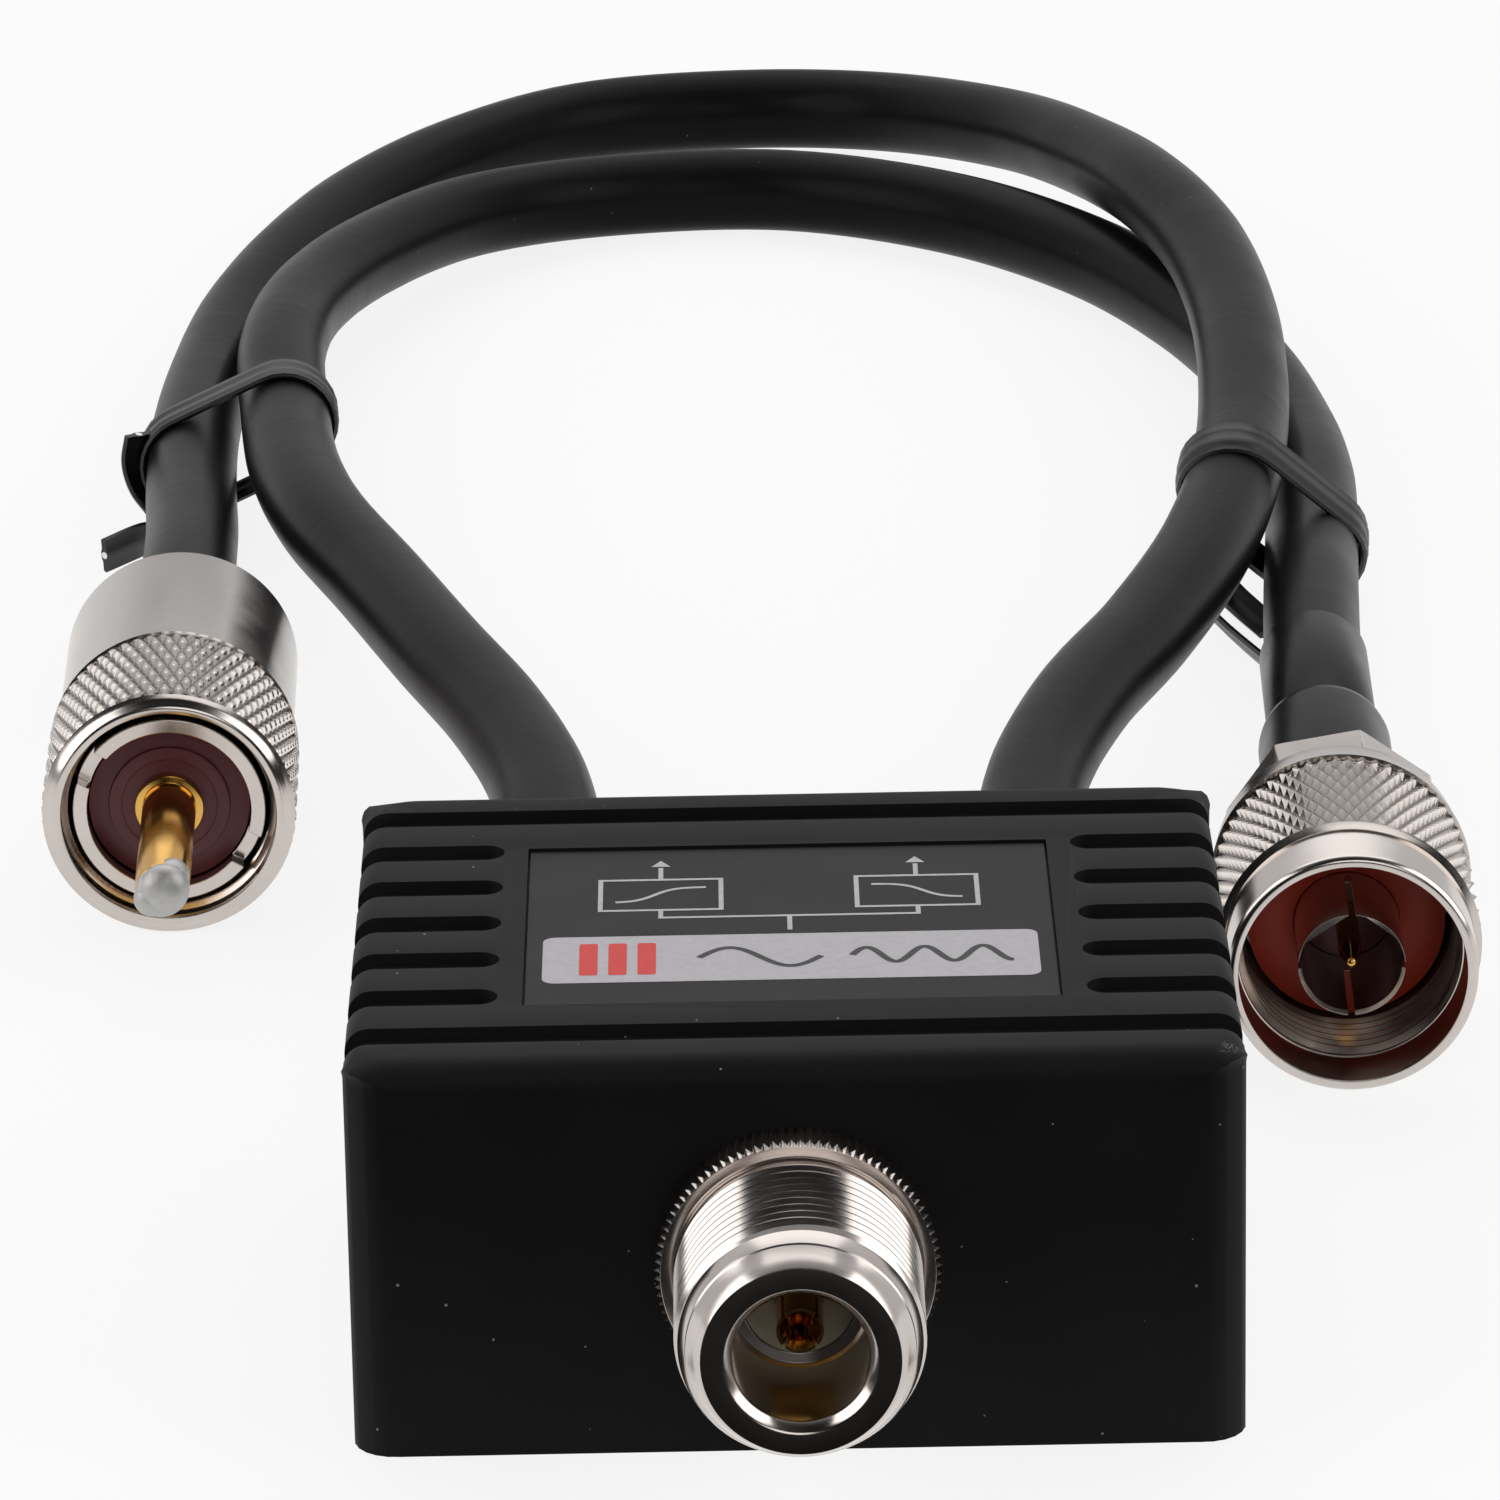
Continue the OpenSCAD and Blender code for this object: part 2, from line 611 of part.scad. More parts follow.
module case_shell() {
    color([0.16, 0.155, 0.16])
        difference() {
            case_outline();
            difference() {
                translate([-room_w / 2, -room_d / 2, -past]) cube([room_w, room_d, room_top + past]);
                at_corners(boss_x, boss_y) cylinder(d = boss_d, h = boss_top);
                for (post = board_posts)
                    translate([post[0], post[1], board_top])
                        cylinder(d = board_boss_d, h = room_top - board_top);
            }
            translate([0, 0, -past])
                linear_extrude(cover_t + past)
                    polygon(round_box(room_w + 2 * cover_ledge, room_d + 2 * cover_ledge, cover_room_r));
            at_corners(boss_x, boss_y)
                cylinder(d = screw_d + 2 * slip, h = screw_len + 4 * slip);
            for (post = board_posts)
                translate([post[0], post[1], board_top - past])
                    cylinder(d = board_screw_d + 2 * slip, h = board_screw_len - board_t + 2 * past);
            for (i = [0:groove_count - 1]) {
                y = (i - (groove_count - 1) / 2) * groove_pitch;
                if (i == 0 || i == groove_count - 1) groove_band(y);
                else short_groove(y);
            }
            translate([0, label_shift, case_h - label_recess])
                linear_extrude(label_recess + past) square([label_w, label_d], center = true);
            at_jack()
                translate([0, 0, -case_wall - past])
                    cylinder(d = jack_thread_d + 2 * slip, h = case_wall + 2 * past);
            at_jack()
                translate([0, 0, jack_flange_back - flange_room])
                    cylinder(
                        d = jack_flange_d + 2 * flange_room,
                        h = jack_flange_t + jack_washer_t + flange_room
                    );
            for (s = [-1, 1])
                translate([s * lead_x, rear_y + past, port_z])
                    rotate([90, 0, 0]) cylinder(d = grommet_d + 2 * slip, h = case_wall + 2 * past);
        }
}

module bottom_cover() {
    head_h = (screw_head_d - screw_d) / 2;
    color([0.13, 0.13, 0.135])
        difference() {
            linear_extrude(cover_t)
                polygon(round_box(
                    room_w + 2 * (cover_ledge - cover_gap), room_d + 2 * (cover_ledge - cover_gap),
                    cover_room_r
                ));
            at_corners(boss_x, boss_y) {
                translate([0, 0, -past]) cylinder(d = screw_d + 4 * slip, h = cover_t + 2 * past);
                translate([0, 0, -slip])
                    cylinder(d1 = screw_head_d + 4 * slip, d2 = screw_d + 4 * slip, h = head_h + slip);
            }
        }
}

module cover_screws() {
    head_h = (screw_head_d - screw_d) / 2;
    cross_w = 0.7;
    color([0.2, 0.2, 0.21])
        at_corners(boss_x, boss_y)
            difference() {
                union() {
                    translate([0, 0, slip]) cylinder(d1 = screw_head_d, d2 = screw_d, h = head_h);
                    translate([0, 0, head_h]) cylinder(d = screw_d, h = screw_len - head_h);
                }
                for (turn = [0, 90])
                    rotate([0, 0, turn])
                        translate([-screw_d / 2, -cross_w / 2, -past])
                            cube([screw_d, cross_w, past + head_h / 2]);
            }
}

module label_plate() {
    color([0.25, 0.245, 0.25])
        translate([0, label_shift, case_h - label_recess])
            linear_extrude(label_t)
                square([label_w - 2 * label_gap, label_d - 2 * label_gap], center = true);
}

// Antenna jack
module jack_body() {
    thread_r = jack_thread_d / 2;
    color([0.78, 0.75, 0.71])
        at_jack()
            rotate_extrude()
                polygon([
                    [jack_bore_d / 2, jack_seat],
                    [jack_bore_d / 2, jack_len - 0.6],
                    [jack_bore_d / 2 + 0.6, jack_len],
                    [jack_rim_d / 2, jack_len],
                    [thread_r - 0.5, jack_thread_len + 0.6],
                    [thread_r - 0.5, jack_thread_len],
                    [thread_r, jack_thread_len - 0.5],
                    [thread_r, jack_thread_start],
                    [jack_neck_d / 2, jack_thread_start],
                    [jack_neck_d / 2, jack_shoulder],
                    [jack_flange_d / 2, jack_shoulder],
                    [jack_flange_d / 2, jack_flange_back],
                    [jack_insulator_d / 2 + 1.4, jack_flange_back],
                    [jack_insulator_d / 2 + 1.4, jack_tail_back],
                    [jack_insulator_d / 2, jack_tail_back],
                    [jack_insulator_d / 2, jack_seat]
                ]);
}

module jack_ring_nut() {
    edge = 0.3;
    color([0.72, 0.69, 0.65])
        at_jack()
            rotate_extrude()
                polygon([
                    [jack_neck_d / 2 + slip, 0],
                    [ring_nut_d / 2, 0],
                    [ring_nut_d / 2, ring_nut_t - edge],
                    [ring_nut_d / 2 - edge, ring_nut_t],
                    [jack_neck_d / 2 + slip, ring_nut_t]
                ]);
}

module jack_washer() {
    color([0.7, 0.7, 0.68])
        at_jack() ring(jack_flange_d - 0.4, jack_neck_d + 4 * slip, jack_shoulder, -case_wall);
}

module jack_insulator() {
    color([0.92, 0.92, 0.88])
        at_jack()
            ring(jack_insulator_d - 2 * slip, jack_contact_d + 2 * slip, jack_tail_back, jack_seat - slip);
}

module jack_contact() {
    tip = jack_len - jack_contact_inset;
    slot_w = 0.25;
    slot_len = 4.5;
    bore_len = 6;
    bore_d = jack_contact_d - 1.3;
    sink = 0.8;
    sink_d = jack_contact_d - 0.4;
    tail = jack_tail_back - jack_solder_len;
    color([0.85, 0.65, 0.25])
        at_jack()
            difference() {
                union() {
                    translate([0, 0, jack_tail_back])
                        cylinder(d = jack_contact_d, h = tip - jack_tail_back);
                    translate([0, 0, tail])
                        cylinder(d = jack_solder_d, h = jack_tail_back - tail);
                }
                translate([0, 0, tip - bore_len]) cylinder(d = bore_d, h = bore_len + past);
                translate([0, 0, tip - sink])
                    cylinder(
                        d1 = bore_d,
                        d2 = bore_d + (sink_d - bore_d) * (sink + past) / sink,
                        h = sink + past
                    );
                for (turn = [45, 135])
                    rotate([0, 0, turn])
                        translate([-jack_contact_d, -slot_w / 2, tip - slot_len])
                            cube([2 * jack_contact_d, slot_w, slot_len + past]);
                translate([0, jack_solder_d, tail + jack_wire_d])
                    rotate([90, 0, 0]) cylinder(d = jack_wire_d + 2 * slip, h = 2 * jack_solder_d);
            }
}

// Tinned wire through the contact's end, down to the board
module jack_wire() {
    wire_y = front_y - (jack_tail_back - jack_solder_len + jack_wire_d);
    color([0.75, 0.74, 0.72])
        translate([0, wire_y, board_top])
            cylinder(d = jack_wire_d, h = port_z + jack_solder_d / 2 + 0.4 - board_top);
}

// Lead entries
module grommet(s) {
    color([0.07, 0.07, 0.075])
        translate([s * lead_x, rear_y, port_z])
            rotate([-90, 0, 0])
                rotate_extrude()
                    polygon([
                        [lead_d / 2 + slip, -case_wall - grommet_rim],
                        [grommet_rim_d / 2, -case_wall - grommet_rim],
                        [grommet_rim_d / 2, -case_wall],
                        [grommet_d / 2, -case_wall],
                        [grommet_d / 2, 0],
                        [grommet_rim_d / 2, 0],
                        [grommet_rim_d / 2 - 0.4, grommet_rim],
                        [lead_d / 2 + slip, grommet_rim]
                    ]);
}
module left_grommet() { grommet(-1); }
module right_grommet() { grommet(1); }

module lead_clamp(s) {
    back = jacket_end_y + clamp_inset + clamp_len;
    color([0.72, 0.6, 0.4])
        translate([s * lead_x, back, 0])
            rotate([90, 0, 0])
                linear_extrude(clamp_len)
                    difference() {
                        union() {
                            translate([-clamp_w / 2, board_top]) square([clamp_w, port_z - board_top]);
                            translate([0, port_z]) circle(d = clamp_w);
                        }
                        translate([0, port_z]) circle(d = lead_d + 2 * slip);
                    }
}
module left_lead_clamp() { lead_clamp(-1); }
module right_lead_clamp() { lead_clamp(1); }

module bared_insulation(s) {
    color([0.9, 0.9, 0.86])
        translate([s * lead_x, jacket_end_y, port_z])
            rotate([90, 0, 0]) cylinder(d = dielectric_d, h = bared_len);
}
module high_band_insulation() { bared_insulation(-1); }
module low_band_insulation() { bared_insulation(1); }

// Centre wire: out of the bared insulation, then down to the board
module core_wire(s) {
    reach = 3;
    color([0.78, 0.45, 0.25])
        translate([s * lead_x, bared_end_y, 0]) {
            translate([0, 0, port_z]) rotate([90, 0, 0]) cylinder(d = core_wire_d, h = reach);
            translate([0, -reach, port_z]) sphere(d = core_wire_d);
            translate([0, -reach, board_top]) cylinder(d = core_wire_d, h = port_z - board_top);
        }
}
module high_band_wire() { core_wire(-1); }
module low_band_wire() { core_wire(1); }

// Filter
module circuit_board() {
    color([0.16, 0.35, 0.2])
        translate([0, board_shift, board_z])
            difference() {
                translate([-board_w / 2, -board_d / 2, 0]) cube([board_w, board_d, board_t]);
                for (post = board_posts)
                    translate([post[0], post[1] - board_shift, -past])
                        cylinder(d = board_screw_d + 4 * slip, h = board_t + 2 * past);
            }
}

module board_screws() {
    color([0.75, 0.75, 0.76])
        for (post = board_posts)
            translate([post[0], post[1], board_z]) {
                translate([0, 0, -board_screw_head]) cylinder(d = board_screw_head_d, h = board_screw_head);
                cylinder(d = board_screw_d, h = board_screw_len);
            }
}

// Tinned sheet that stands between the low band and the high band filter
module screen_plate() {
    from_y = board_front_y + 9;
    to_y = board_rear_y - 1;
    color([0.7, 0.7, 0.7])
        translate([-screen_t / 2, from_y, board_top])
            cube([screen_t, to_y - from_y, (room_top - board_top) * 0.7]);
}

module coil(place, turns) {
    r = (coil_d - coil_wire) / 2;
    color([0.72, 0.4, 0.18])
        translate([place[0], place[1], board_top + r + coil_lift])
            swept(coil_path(turns, r), round_outline(coil_wire / 2, coil_sides), [[0, 1, 0]]);
}
module low_coil_1() { coil(low_coils[0], low_turns); }
module low_coil_2() { coil(low_coils[1], low_turns); }
module low_coil_3() { coil(low_coils[2], low_turns); }
module high_coil_1() { coil(high_coils[0], high_turns); }
module high_coil_2() { coil(high_coils[1], high_turns); }

// Disc capacitor on two legs
module capacitor(place) {
    color([0.7, 0.45, 0.2])
        translate([place[0], place[1], board_top]) {
            translate([0, capacitor_t / 2, capacitor_lift + capacitor_d / 2])
                rotate([90, 0, 0]) cylinder(d = capacitor_d, h = capacitor_t);
            for (s = [-1, 1])
                translate([s * capacitor_d / 4, 0, 0])
                    cylinder(d = capacitor_leg_d, h = capacitor_lift + capacitor_d / 2);
        }
}
module low_capacitor_1() { capacitor(low_capacitors[0]); }
module low_capacitor_2() { capacitor(low_capacitors[1]); }
module high_capacitor_1() { capacitor(high_capacitors[0]); }
module high_capacitor_2() { capacitor(high_capacitors[1]); }

// Leads
module lead(route) {
    color([0.08, 0.08, 0.085])
        swept(lead_path(route), round_outline(lead_d / 2, lead_sides), [[0, 0, 1]]);
}
module high_band_lead() { lead(high_band_route); }
module low_band_lead() { lead(low_band_route); }

// A tie's two turns, as one band with round ends around two leads
module tie_outline(leads, r) {
    along = leads[1] - leads[0];
    for (place = leads) translate(place) circle(r = r);
    translate(leads[0])
        rotate(atan2(along[1], along[0])) translate([0, -r]) square([norm(along), 2 * r]);
}
module tie_band(leads, y, turn, dip, lean) {
    inner_r = lead_d / 2 + tie_gap;
    middle = (leads[0] + leads[1]) / 2;
    around = [for (place = leads) place - middle];
    reach = 3 * lead_d;
    translate([middle[0], y, middle[1]])
        intersection() {
            rotate([90 + dip, 0, turn])
                linear_extrude(2 * reach, center = true)
                    difference() {
                        tie_outline(around, inner_r + tie_t);
                        tie_outline(around, inner_r);
                    }
            rotate([lean, 0, turn]) cube([2 * reach, tie_w + tie_step, 2 * reach], center = true);
        }
}
// A free end: a flat strip from a place in the band
module tie_end(course) {
    swept([for (point = course) point[0]], flat_outline(tie_t, tie_w), [for (point = course) point[1]]);
}

module left_tie() {
    color([0.06, 0.06, 0.065]) {
        tie_band(left_tie_leads, left_tie_y, left_tie_turn, left_tie_dip, left_tie_lean);
        tie_end(left_tie_up);
        tie_end(left_tie_out);
    }
}

module right_tie() {
    color([0.06, 0.06, 0.065]) {
        tie_band(right_tie_leads, right_tie_y, right_tie_turn, right_tie_dip, right_tie_lean);
        tie_end(right_tie_under);
        tie_end(right_tie_out);
    }
}

// PL plug
module pl_body() {
    ring_bore_d = pl_insulator_d + 2 * slip;
    notch_w = 2.6;
    notch_h = 1.4;
    notch_turn = 30;
    color([0.76, 0.73, 0.69])
        at_pl()
            difference() {
                rotate_extrude()
                    polygon([
                        [ring_bore_d / 2, pl_ring_inset],
                        [pl_ring_d / 2, pl_ring_inset],
                        [pl_ring_d / 2, pl_shoulder],
                        [pl_barrel_d / 2, pl_shoulder],
                        [pl_barrel_d / 2, pl_body_end],
                        [lead_d / 2 + slip, pl_body_end],
                        [lead_d / 2 + slip, pl_lead_seat],
                        [dielectric_d / 2 + slip, pl_lead_seat],
                        [dielectric_d / 2 + slip, pl_insulator_back],
                        [ring_bore_d / 2, pl_insulator_back]
                    ]);
                rotate([0, 0, notch_turn])
                    translate([-pl_ring_d, -notch_w / 2, pl_ring_inset - past])
                        cube([2 * pl_ring_d, notch_w, notch_h + past]);
            }
}

module pl_insulator() {
    color([0.27, 0.14, 0.12])
        at_pl() ring(pl_insulator_d, pl_shank_d + 2 * slip, pl_insulator_front, pl_insulator_back);
}

// Hollow pin with a foot in front of the insulator and a thinner shank in it
module pl_pin() {
    color([0.83, 0.65, 0.3])
        at_pl() {
            ring(pl_pin_d, pl_pin_bore_d, -pl_pin_proud, pl_foot_front);
            ring(pl_foot_d, pl_pin_bore_d, pl_foot_front - slip, pl_pin_step);
            ring(pl_shank_d, pl_pin_bore_d, pl_pin_step - slip, pl_insulator_back);
        }
}

// Solder that fills the pin's tip and stands out of it as a low dome
module pl_solder_tip() {
    dome = 1.1;
    fill = 4;
    bore_r = pl_pin_bore_d / 2 - slip;
    rim_r = pl_pin_d / 2 - slip;
    color([0.75, 0.75, 0.74])
        at_pl()
            translate([0, 0, -pl_pin_proud])
                rotate_extrude()
                    polygon(concat(
                        [[0, fill], [bore_r, fill], [bore_r, 0]],
                        [
                            for (i = [0:corner_steps])
                                let (a = 90 * i / corner_steps) [rim_r * cos(a), -dome * sin(a)]
                        ]
                    ));
}

module pl_coupling_nut() {
    lip_d = pl_knurl_d - 1.8;
    edge = 0.6;
    core_r = pl_knurl_d / 2 - knurl_core;
    bearing_d = pl_barrel_d + 2 * turn_gap;
    color([0.76, 0.73, 0.7])
        at_pl() {
            knurl(pl_knurl_d, pl_lip_len + slip, pl_knurl_end - slip, pl_knurl_rise);
            rotate_extrude()
                polygon([
                    [coupling_bore_d / 2 + 0.4, 0],
                    [lip_d / 2, 0],
                    [lip_d / 2 + 0.3, pl_lip_len],
                    [core_r, pl_lip_len],
                    [core_r, pl_knurl_end],
                    [pl_sleeve_d / 2, pl_knurl_end],
                    [pl_sleeve_d / 2, pl_nut_len - edge],
                    [pl_sleeve_d / 2 - edge, pl_nut_len],
                    [pl_back_bore_d / 2, pl_nut_len],
                    [pl_back_bore_d / 2, pl_bearing_end],
                    [bearing_d / 2, pl_bearing_end],
                    [bearing_d / 2, pl_bore_len],
                    [coupling_bore_d / 2, pl_bore_len],
                    [coupling_bore_d / 2, edge]
                ]);
        }
}

// N plug
module n_body() {
    groove_r = n_barrel_d / 2 - 0.6;
    color([0.74, 0.71, 0.67])
        at_n()
            rotate_extrude()
                polygon([
                    [n_insulator_d / 2 + slip, n_flange_inset],
                    [n_flange_d / 2, n_flange_inset],
                    [n_flange_d / 2, n_flange_end],
                    [n_barrel_d / 2, n_flange_end],
                    [n_barrel_d / 2, n_snap_at - slip],
                    [groove_r, n_snap_at - slip],
                    [groove_r, n_snap_at + n_snap_t + slip],
                    [n_barrel_d / 2, n_snap_at + n_snap_t + slip],
                    [n_barrel_d / 2, n_barrel_end],
                    [n_stem_d / 2, n_barrel_end],
                    [n_stem_d / 2, n_stem_end],
                    [dielectric_d / 2 + slip, n_stem_end],
                    [dielectric_d / 2 + slip, n_snap_at],
                    [n_insulator_d / 2 + slip, n_snap_at]
                ]);
}

module n_outer_contact() {
    slot_w = 0.45;
    slot_len = 7.5;
    color([0.8, 0.78, 0.74])
        at_n()
            difference() {
                ring(n_contact_d, n_contact_d - 2 * n_contact_wall, n_contact_inset, n_flange_inset);
                for (turn = [0, 90])
                    rotate([0, 0, turn])
                        translate([-n_contact_d, -slot_w / 2, n_contact_inset - past])
                            cube([2 * n_contact_d, slot_w, slot_len + past]);
            }
}

module n_insulator() {
    color([0.27, 0.14, 0.12])
        at_n() ring(n_insulator_d, n_pin_d + 2 * slip, n_flange_inset + 0.6, n_snap_at - slip);
}

// Pin with a round tip, just behind the outer contact's edge, and a taper behind it
module n_pin() {
    tip_r = n_pin_d / 4;
    tip = n_contact_inset + 0.3 + tip_r;
    shoulder = tip + 2;
    color([0.85, 0.66, 0.28])
        at_n() {
            translate([0, 0, tip]) sphere(r = tip_r);
            translate([0, 0, tip]) cylinder(r1 = tip_r, r2 = n_pin_d / 2, h = shoulder - tip);
            translate([0, 0, shoulder]) cylinder(d = n_pin_d, h = n_snap_at - shoulder - slip);
        }
}

module n_gasket() {
    color([0.42, 0.12, 0.08])
        at_n()
            ring(n_flange_d - 0.2, n_contact_d + 0.4, n_flange_inset - n_gasket_t, n_flange_inset);
}

// Split ring that sits in the barrel's groove and keeps the nut on
module n_snap_ring() {
    opening = 2;
    outer_d = n_barrel_d + 1.4;
    color([0.6, 0.6, 0.6])
        at_n()
            difference() {
                ring(outer_d, n_barrel_d - 1.2 + 2 * slip, n_snap_at, n_snap_at + n_snap_t);
                translate([0, -opening / 2, n_snap_at - past])
                    cube([outer_d, opening, n_snap_t + 2 * past]);
            }
}

module n_ferrule() {
    color([0.72, 0.7, 0.66])
        at_n() ring(n_ferrule_d, n_stem_d + 2 * slip, n_barrel_end, n_ferrule_end);
}

module n_boot() {
    color([0.07, 0.07, 0.075])
        at_n() ring(n_ferrule_d + 2 * n_boot_wall, n_ferrule_d + 2 * slip, n_barrel_end, n_boot_end);
}

module n_sleeve() {
    color([0.08, 0.08, 0.085])
        at_n() ring(lead_d + 2 * n_sleeve_wall, lead_d + 4 * slip, n_boot_end, n_sleeve_end);
}

module n_coupling_nut() {
    edge = 0.6;
    flats_turn = 12.5;
    flats_corner_d = n_flats / cos(180 / n_flat_count);
    core_r = n_knurl_d / 2 - knurl_core;
    mouth_d = n_collar_d - 1.6;
    mouth_len = 4.4;
    bearing_d = n_barrel_d + 2 * turn_gap;
    snap_room_d = n_barrel_d + 2;
    color([0.75, 0.72, 0.68])
        at_n()
            difference() {
                union() {
                    rotate_extrude()
                        polygon([
                            [0, 0],
                            [n_collar_d / 2 - edge, 0],
                            [n_collar_d / 2, edge],
                            [n_collar_d / 2, n_collar_len],
                            [core_r, n_knurl_start],
                            [core_r, n_knurl_end],
                            [n_rim_d / 2, n_knurl_end],
                            [n_rim_d / 2, n_rim_end - edge],
                            [n_rim_d / 2 - edge, n_rim_end],
                            [0, n_rim_end]
                        ]);
                    knurl(n_knurl_d, n_knurl_start + slip, n_knurl_end - slip, n_knurl_rise);
                    translate([0, 0, n_rim_end - past])
                        rotate([0, 0, flats_turn])
                            cylinder(d = flats_corner_d, h = n_flats_len + past, $fn = n_flat_count);
                }
                translate([0, 0, -past]) cylinder(d = mouth_d, h = mouth_len + past);
                translate([0, 0, -past]) cylinder(d = coupling_bore_d, h = n_bore_len + past);
                cylinder(d = bearing_d, h = n_nut_len + past);
                translate([0, 0, n_snap_at - 3 * slip])
                    cylinder(d = snap_room_d, h = n_snap_t + 6 * slip);
            }
}

case_shell();
bottom_cover();
cover_screws();
label_plate();
jack_body();
jack_ring_nut();
jack_washer();
jack_insulator();
jack_contact();
jack_wire();
left_grommet();
right_grommet();
left_lead_clamp();
right_lead_clamp();
circuit_board();
board_screws();
screen_plate();
low_coil_1();
low_coil_2();
low_coil_3();
high_coil_1();
high_coil_2();
low_capacitor_1();
low_capacitor_2();
high_capacitor_1();
high_capacitor_2();
high_band_insulation();
low_band_insulation();
high_band_wire();
low_band_wire();
high_band_lead();
low_band_lead();
left_tie();
right_tie();
pl_body();
pl_insulator();
pl_pin();
pl_solder_tip();
pl_coupling_nut();
n_body();
n_outer_contact();
n_insulator();
n_pin();
n_gasket();
n_snap_ring();
n_ferrule();
n_boot();
n_sleeve();
n_coupling_nut();
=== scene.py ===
import math

import bmesh
import bpy
from mathutils import Matrix, Vector


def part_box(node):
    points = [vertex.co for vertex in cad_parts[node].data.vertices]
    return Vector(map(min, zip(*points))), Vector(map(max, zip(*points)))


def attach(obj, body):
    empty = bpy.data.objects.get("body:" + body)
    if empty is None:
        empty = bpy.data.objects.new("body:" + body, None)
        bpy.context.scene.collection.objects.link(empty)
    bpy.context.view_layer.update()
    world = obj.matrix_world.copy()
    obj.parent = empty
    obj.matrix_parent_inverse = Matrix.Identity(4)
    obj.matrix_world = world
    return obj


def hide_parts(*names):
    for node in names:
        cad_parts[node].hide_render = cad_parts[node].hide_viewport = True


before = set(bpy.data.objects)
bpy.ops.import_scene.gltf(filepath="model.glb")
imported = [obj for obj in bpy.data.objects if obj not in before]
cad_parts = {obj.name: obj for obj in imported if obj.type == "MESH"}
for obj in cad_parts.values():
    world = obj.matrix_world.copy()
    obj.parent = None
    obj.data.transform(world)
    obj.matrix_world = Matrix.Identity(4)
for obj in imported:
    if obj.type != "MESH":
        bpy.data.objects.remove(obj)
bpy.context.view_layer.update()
MM = 0.001


# Case
# A die casting that opens from below, with seven cooling grooves over its top and down its sides.
# It is sprayed with a fine-textured matt black paint, marked by dust and rubbed at one corner.
def colour(code):
    """A hex colour as linear red, green, blue and alpha."""
    parts = [int(code[i:i + 2], 16) / 255 for i in (1, 3, 5)]
    return [p / 12.92 if p <= 0.04045 else ((p + 0.055) / 1.055) ** 2.4 for p in parts] + [1]


def add(tree, kind, links=(), **settings):
    """A new shader node with these settings, and a value or another node's socket on each named socket."""
    new = tree.nodes.new("ShaderNode" + kind)
    for field, value in settings.items():
        setattr(new, field, value)
    for socket, value in dict(links).items():
        if isinstance(value, bpy.types.NodeSocket):
            tree.links.new(value, new.inputs[socket])
        else:
            new.inputs[socket].default_value = value
    return new


def new_finish(name, surface):
    """A new material, its node tree and its shader, with these values on the shader's sockets."""
    made = bpy.data.materials.new(name)
    made.use_nodes = True
    shader = made.node_tree.nodes["Principled BSDF"]
    for socket, value in surface.items():
        shader.inputs[socket].default_value = value
    return made, made.node_tree, shader


def noise(tree, spot, detail, place=None):
    """Noise with spots of this size in millimetres, in the object's own frame or at the places given."""
    if place is None:
        place = add(tree, "TexCoord").outputs["Object"]
    return add(tree, "TexNoise", {"Vector": place, "Scale": 1 / (spot * MM), "Detail": detail}).outputs["Fac"]


def maths(tree, operation, *values):
    """The result of a calculation on values or sockets."""
    return add(tree, "Math", dict(enumerate(values)), operation=operation).outputs[0]


def mix(tree, factor, first, second):
    """A mix of two colours by a factor."""
    return add(tree, "Mix", {"Factor": factor, 6: first, 7: second}, data_type="RGBA").outputs[2]


def tone(tree, factor, dark, light):
    """A colour between two hex colours by a factor."""
    ramp = add(tree, "ValToRGB", {"Fac": factor})
    for element, code in zip(ramp.color_ramp.elements, (dark, light)):
        element.color = colour(code)
    return ramp.outputs["Color"]


def dusted(tree, ground, apart, spread, least, dust):
    """A colour with specks of dust in some of the cells of this size in millimetres."""
    here = add(tree, "TexCoord").outputs["Object"]
    cells = add(tree, "TexVoronoi", {"Vector": here, "Scale": 1 / (apart * MM)})
    number = add(tree, "SeparateColor", {"Color": cells.outputs["Color"]}).outputs["Red"]
    speck = maths(tree, "MULTIPLY_ADD", number, spread, -least)
    return mix(tree, maths(tree, "GREATER_THAN", speck, cells.outputs["Distance"]), ground, colour(dust))


def set_surface(tree, shader, base, rough=None, relief=None):
    """Gives a shader its colour, a factor with its least and most roughness, and a height with its
    strength and its depth in millimetres."""
    tree.links.new(base, shader.inputs["Base Color"])
    if rough:
        factor, least, most = rough
        roughness = add(tree, "MapRange", {"Value": factor, "To Min": least, "To Max": most})
        tree.links.new(roughness.outputs[0], shader.inputs["Roughness"])
    if relief:
        height, strength, depth = relief
        bump = add(tree, "Bump", {"Height": height, "Strength": strength, "Distance": depth * MM})
        tree.links.new(bump.outputs[0], shader.inputs["Normal"])


def mottled_finish(name, surface, spot, detail, tones, rough=None, relief=None):
    """A material whose colour, roughness and relief follow one noise with spots of this size."""
    finish, tree, shader = new_finish(name, surface)
    spots = noise(tree, spot, detail)
    rough = rough and (spots, *rough)
    relief = relief and (spots, *relief)
    set_surface(tree, shader, tone(tree, spots, *tones), rough, relief)
    return finish


SHARP_ANGLE = math.radians(32)
WELD = 0.0005 * MM


def keep(name, bm, finish, body, slot, *nodes):
    """Makes a bmesh a piece in its finish, on its body, in place of these CAD nodes."""
    mesh = bpy.data.meshes.new(name)
    bm.to_mesh(mesh)
    bm.free()
    mesh.materials.append(finish)
    mesh.shade_smooth()
    mesh.set_sharp_from_angle(angle=SHARP_ANGLE)
    piece = bpy.data.objects.new(name, mesh)
    bpy.context.scene.collection.objects.link(piece)
    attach(piece, body)
    if nodes:
        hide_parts(*nodes)
    return piece


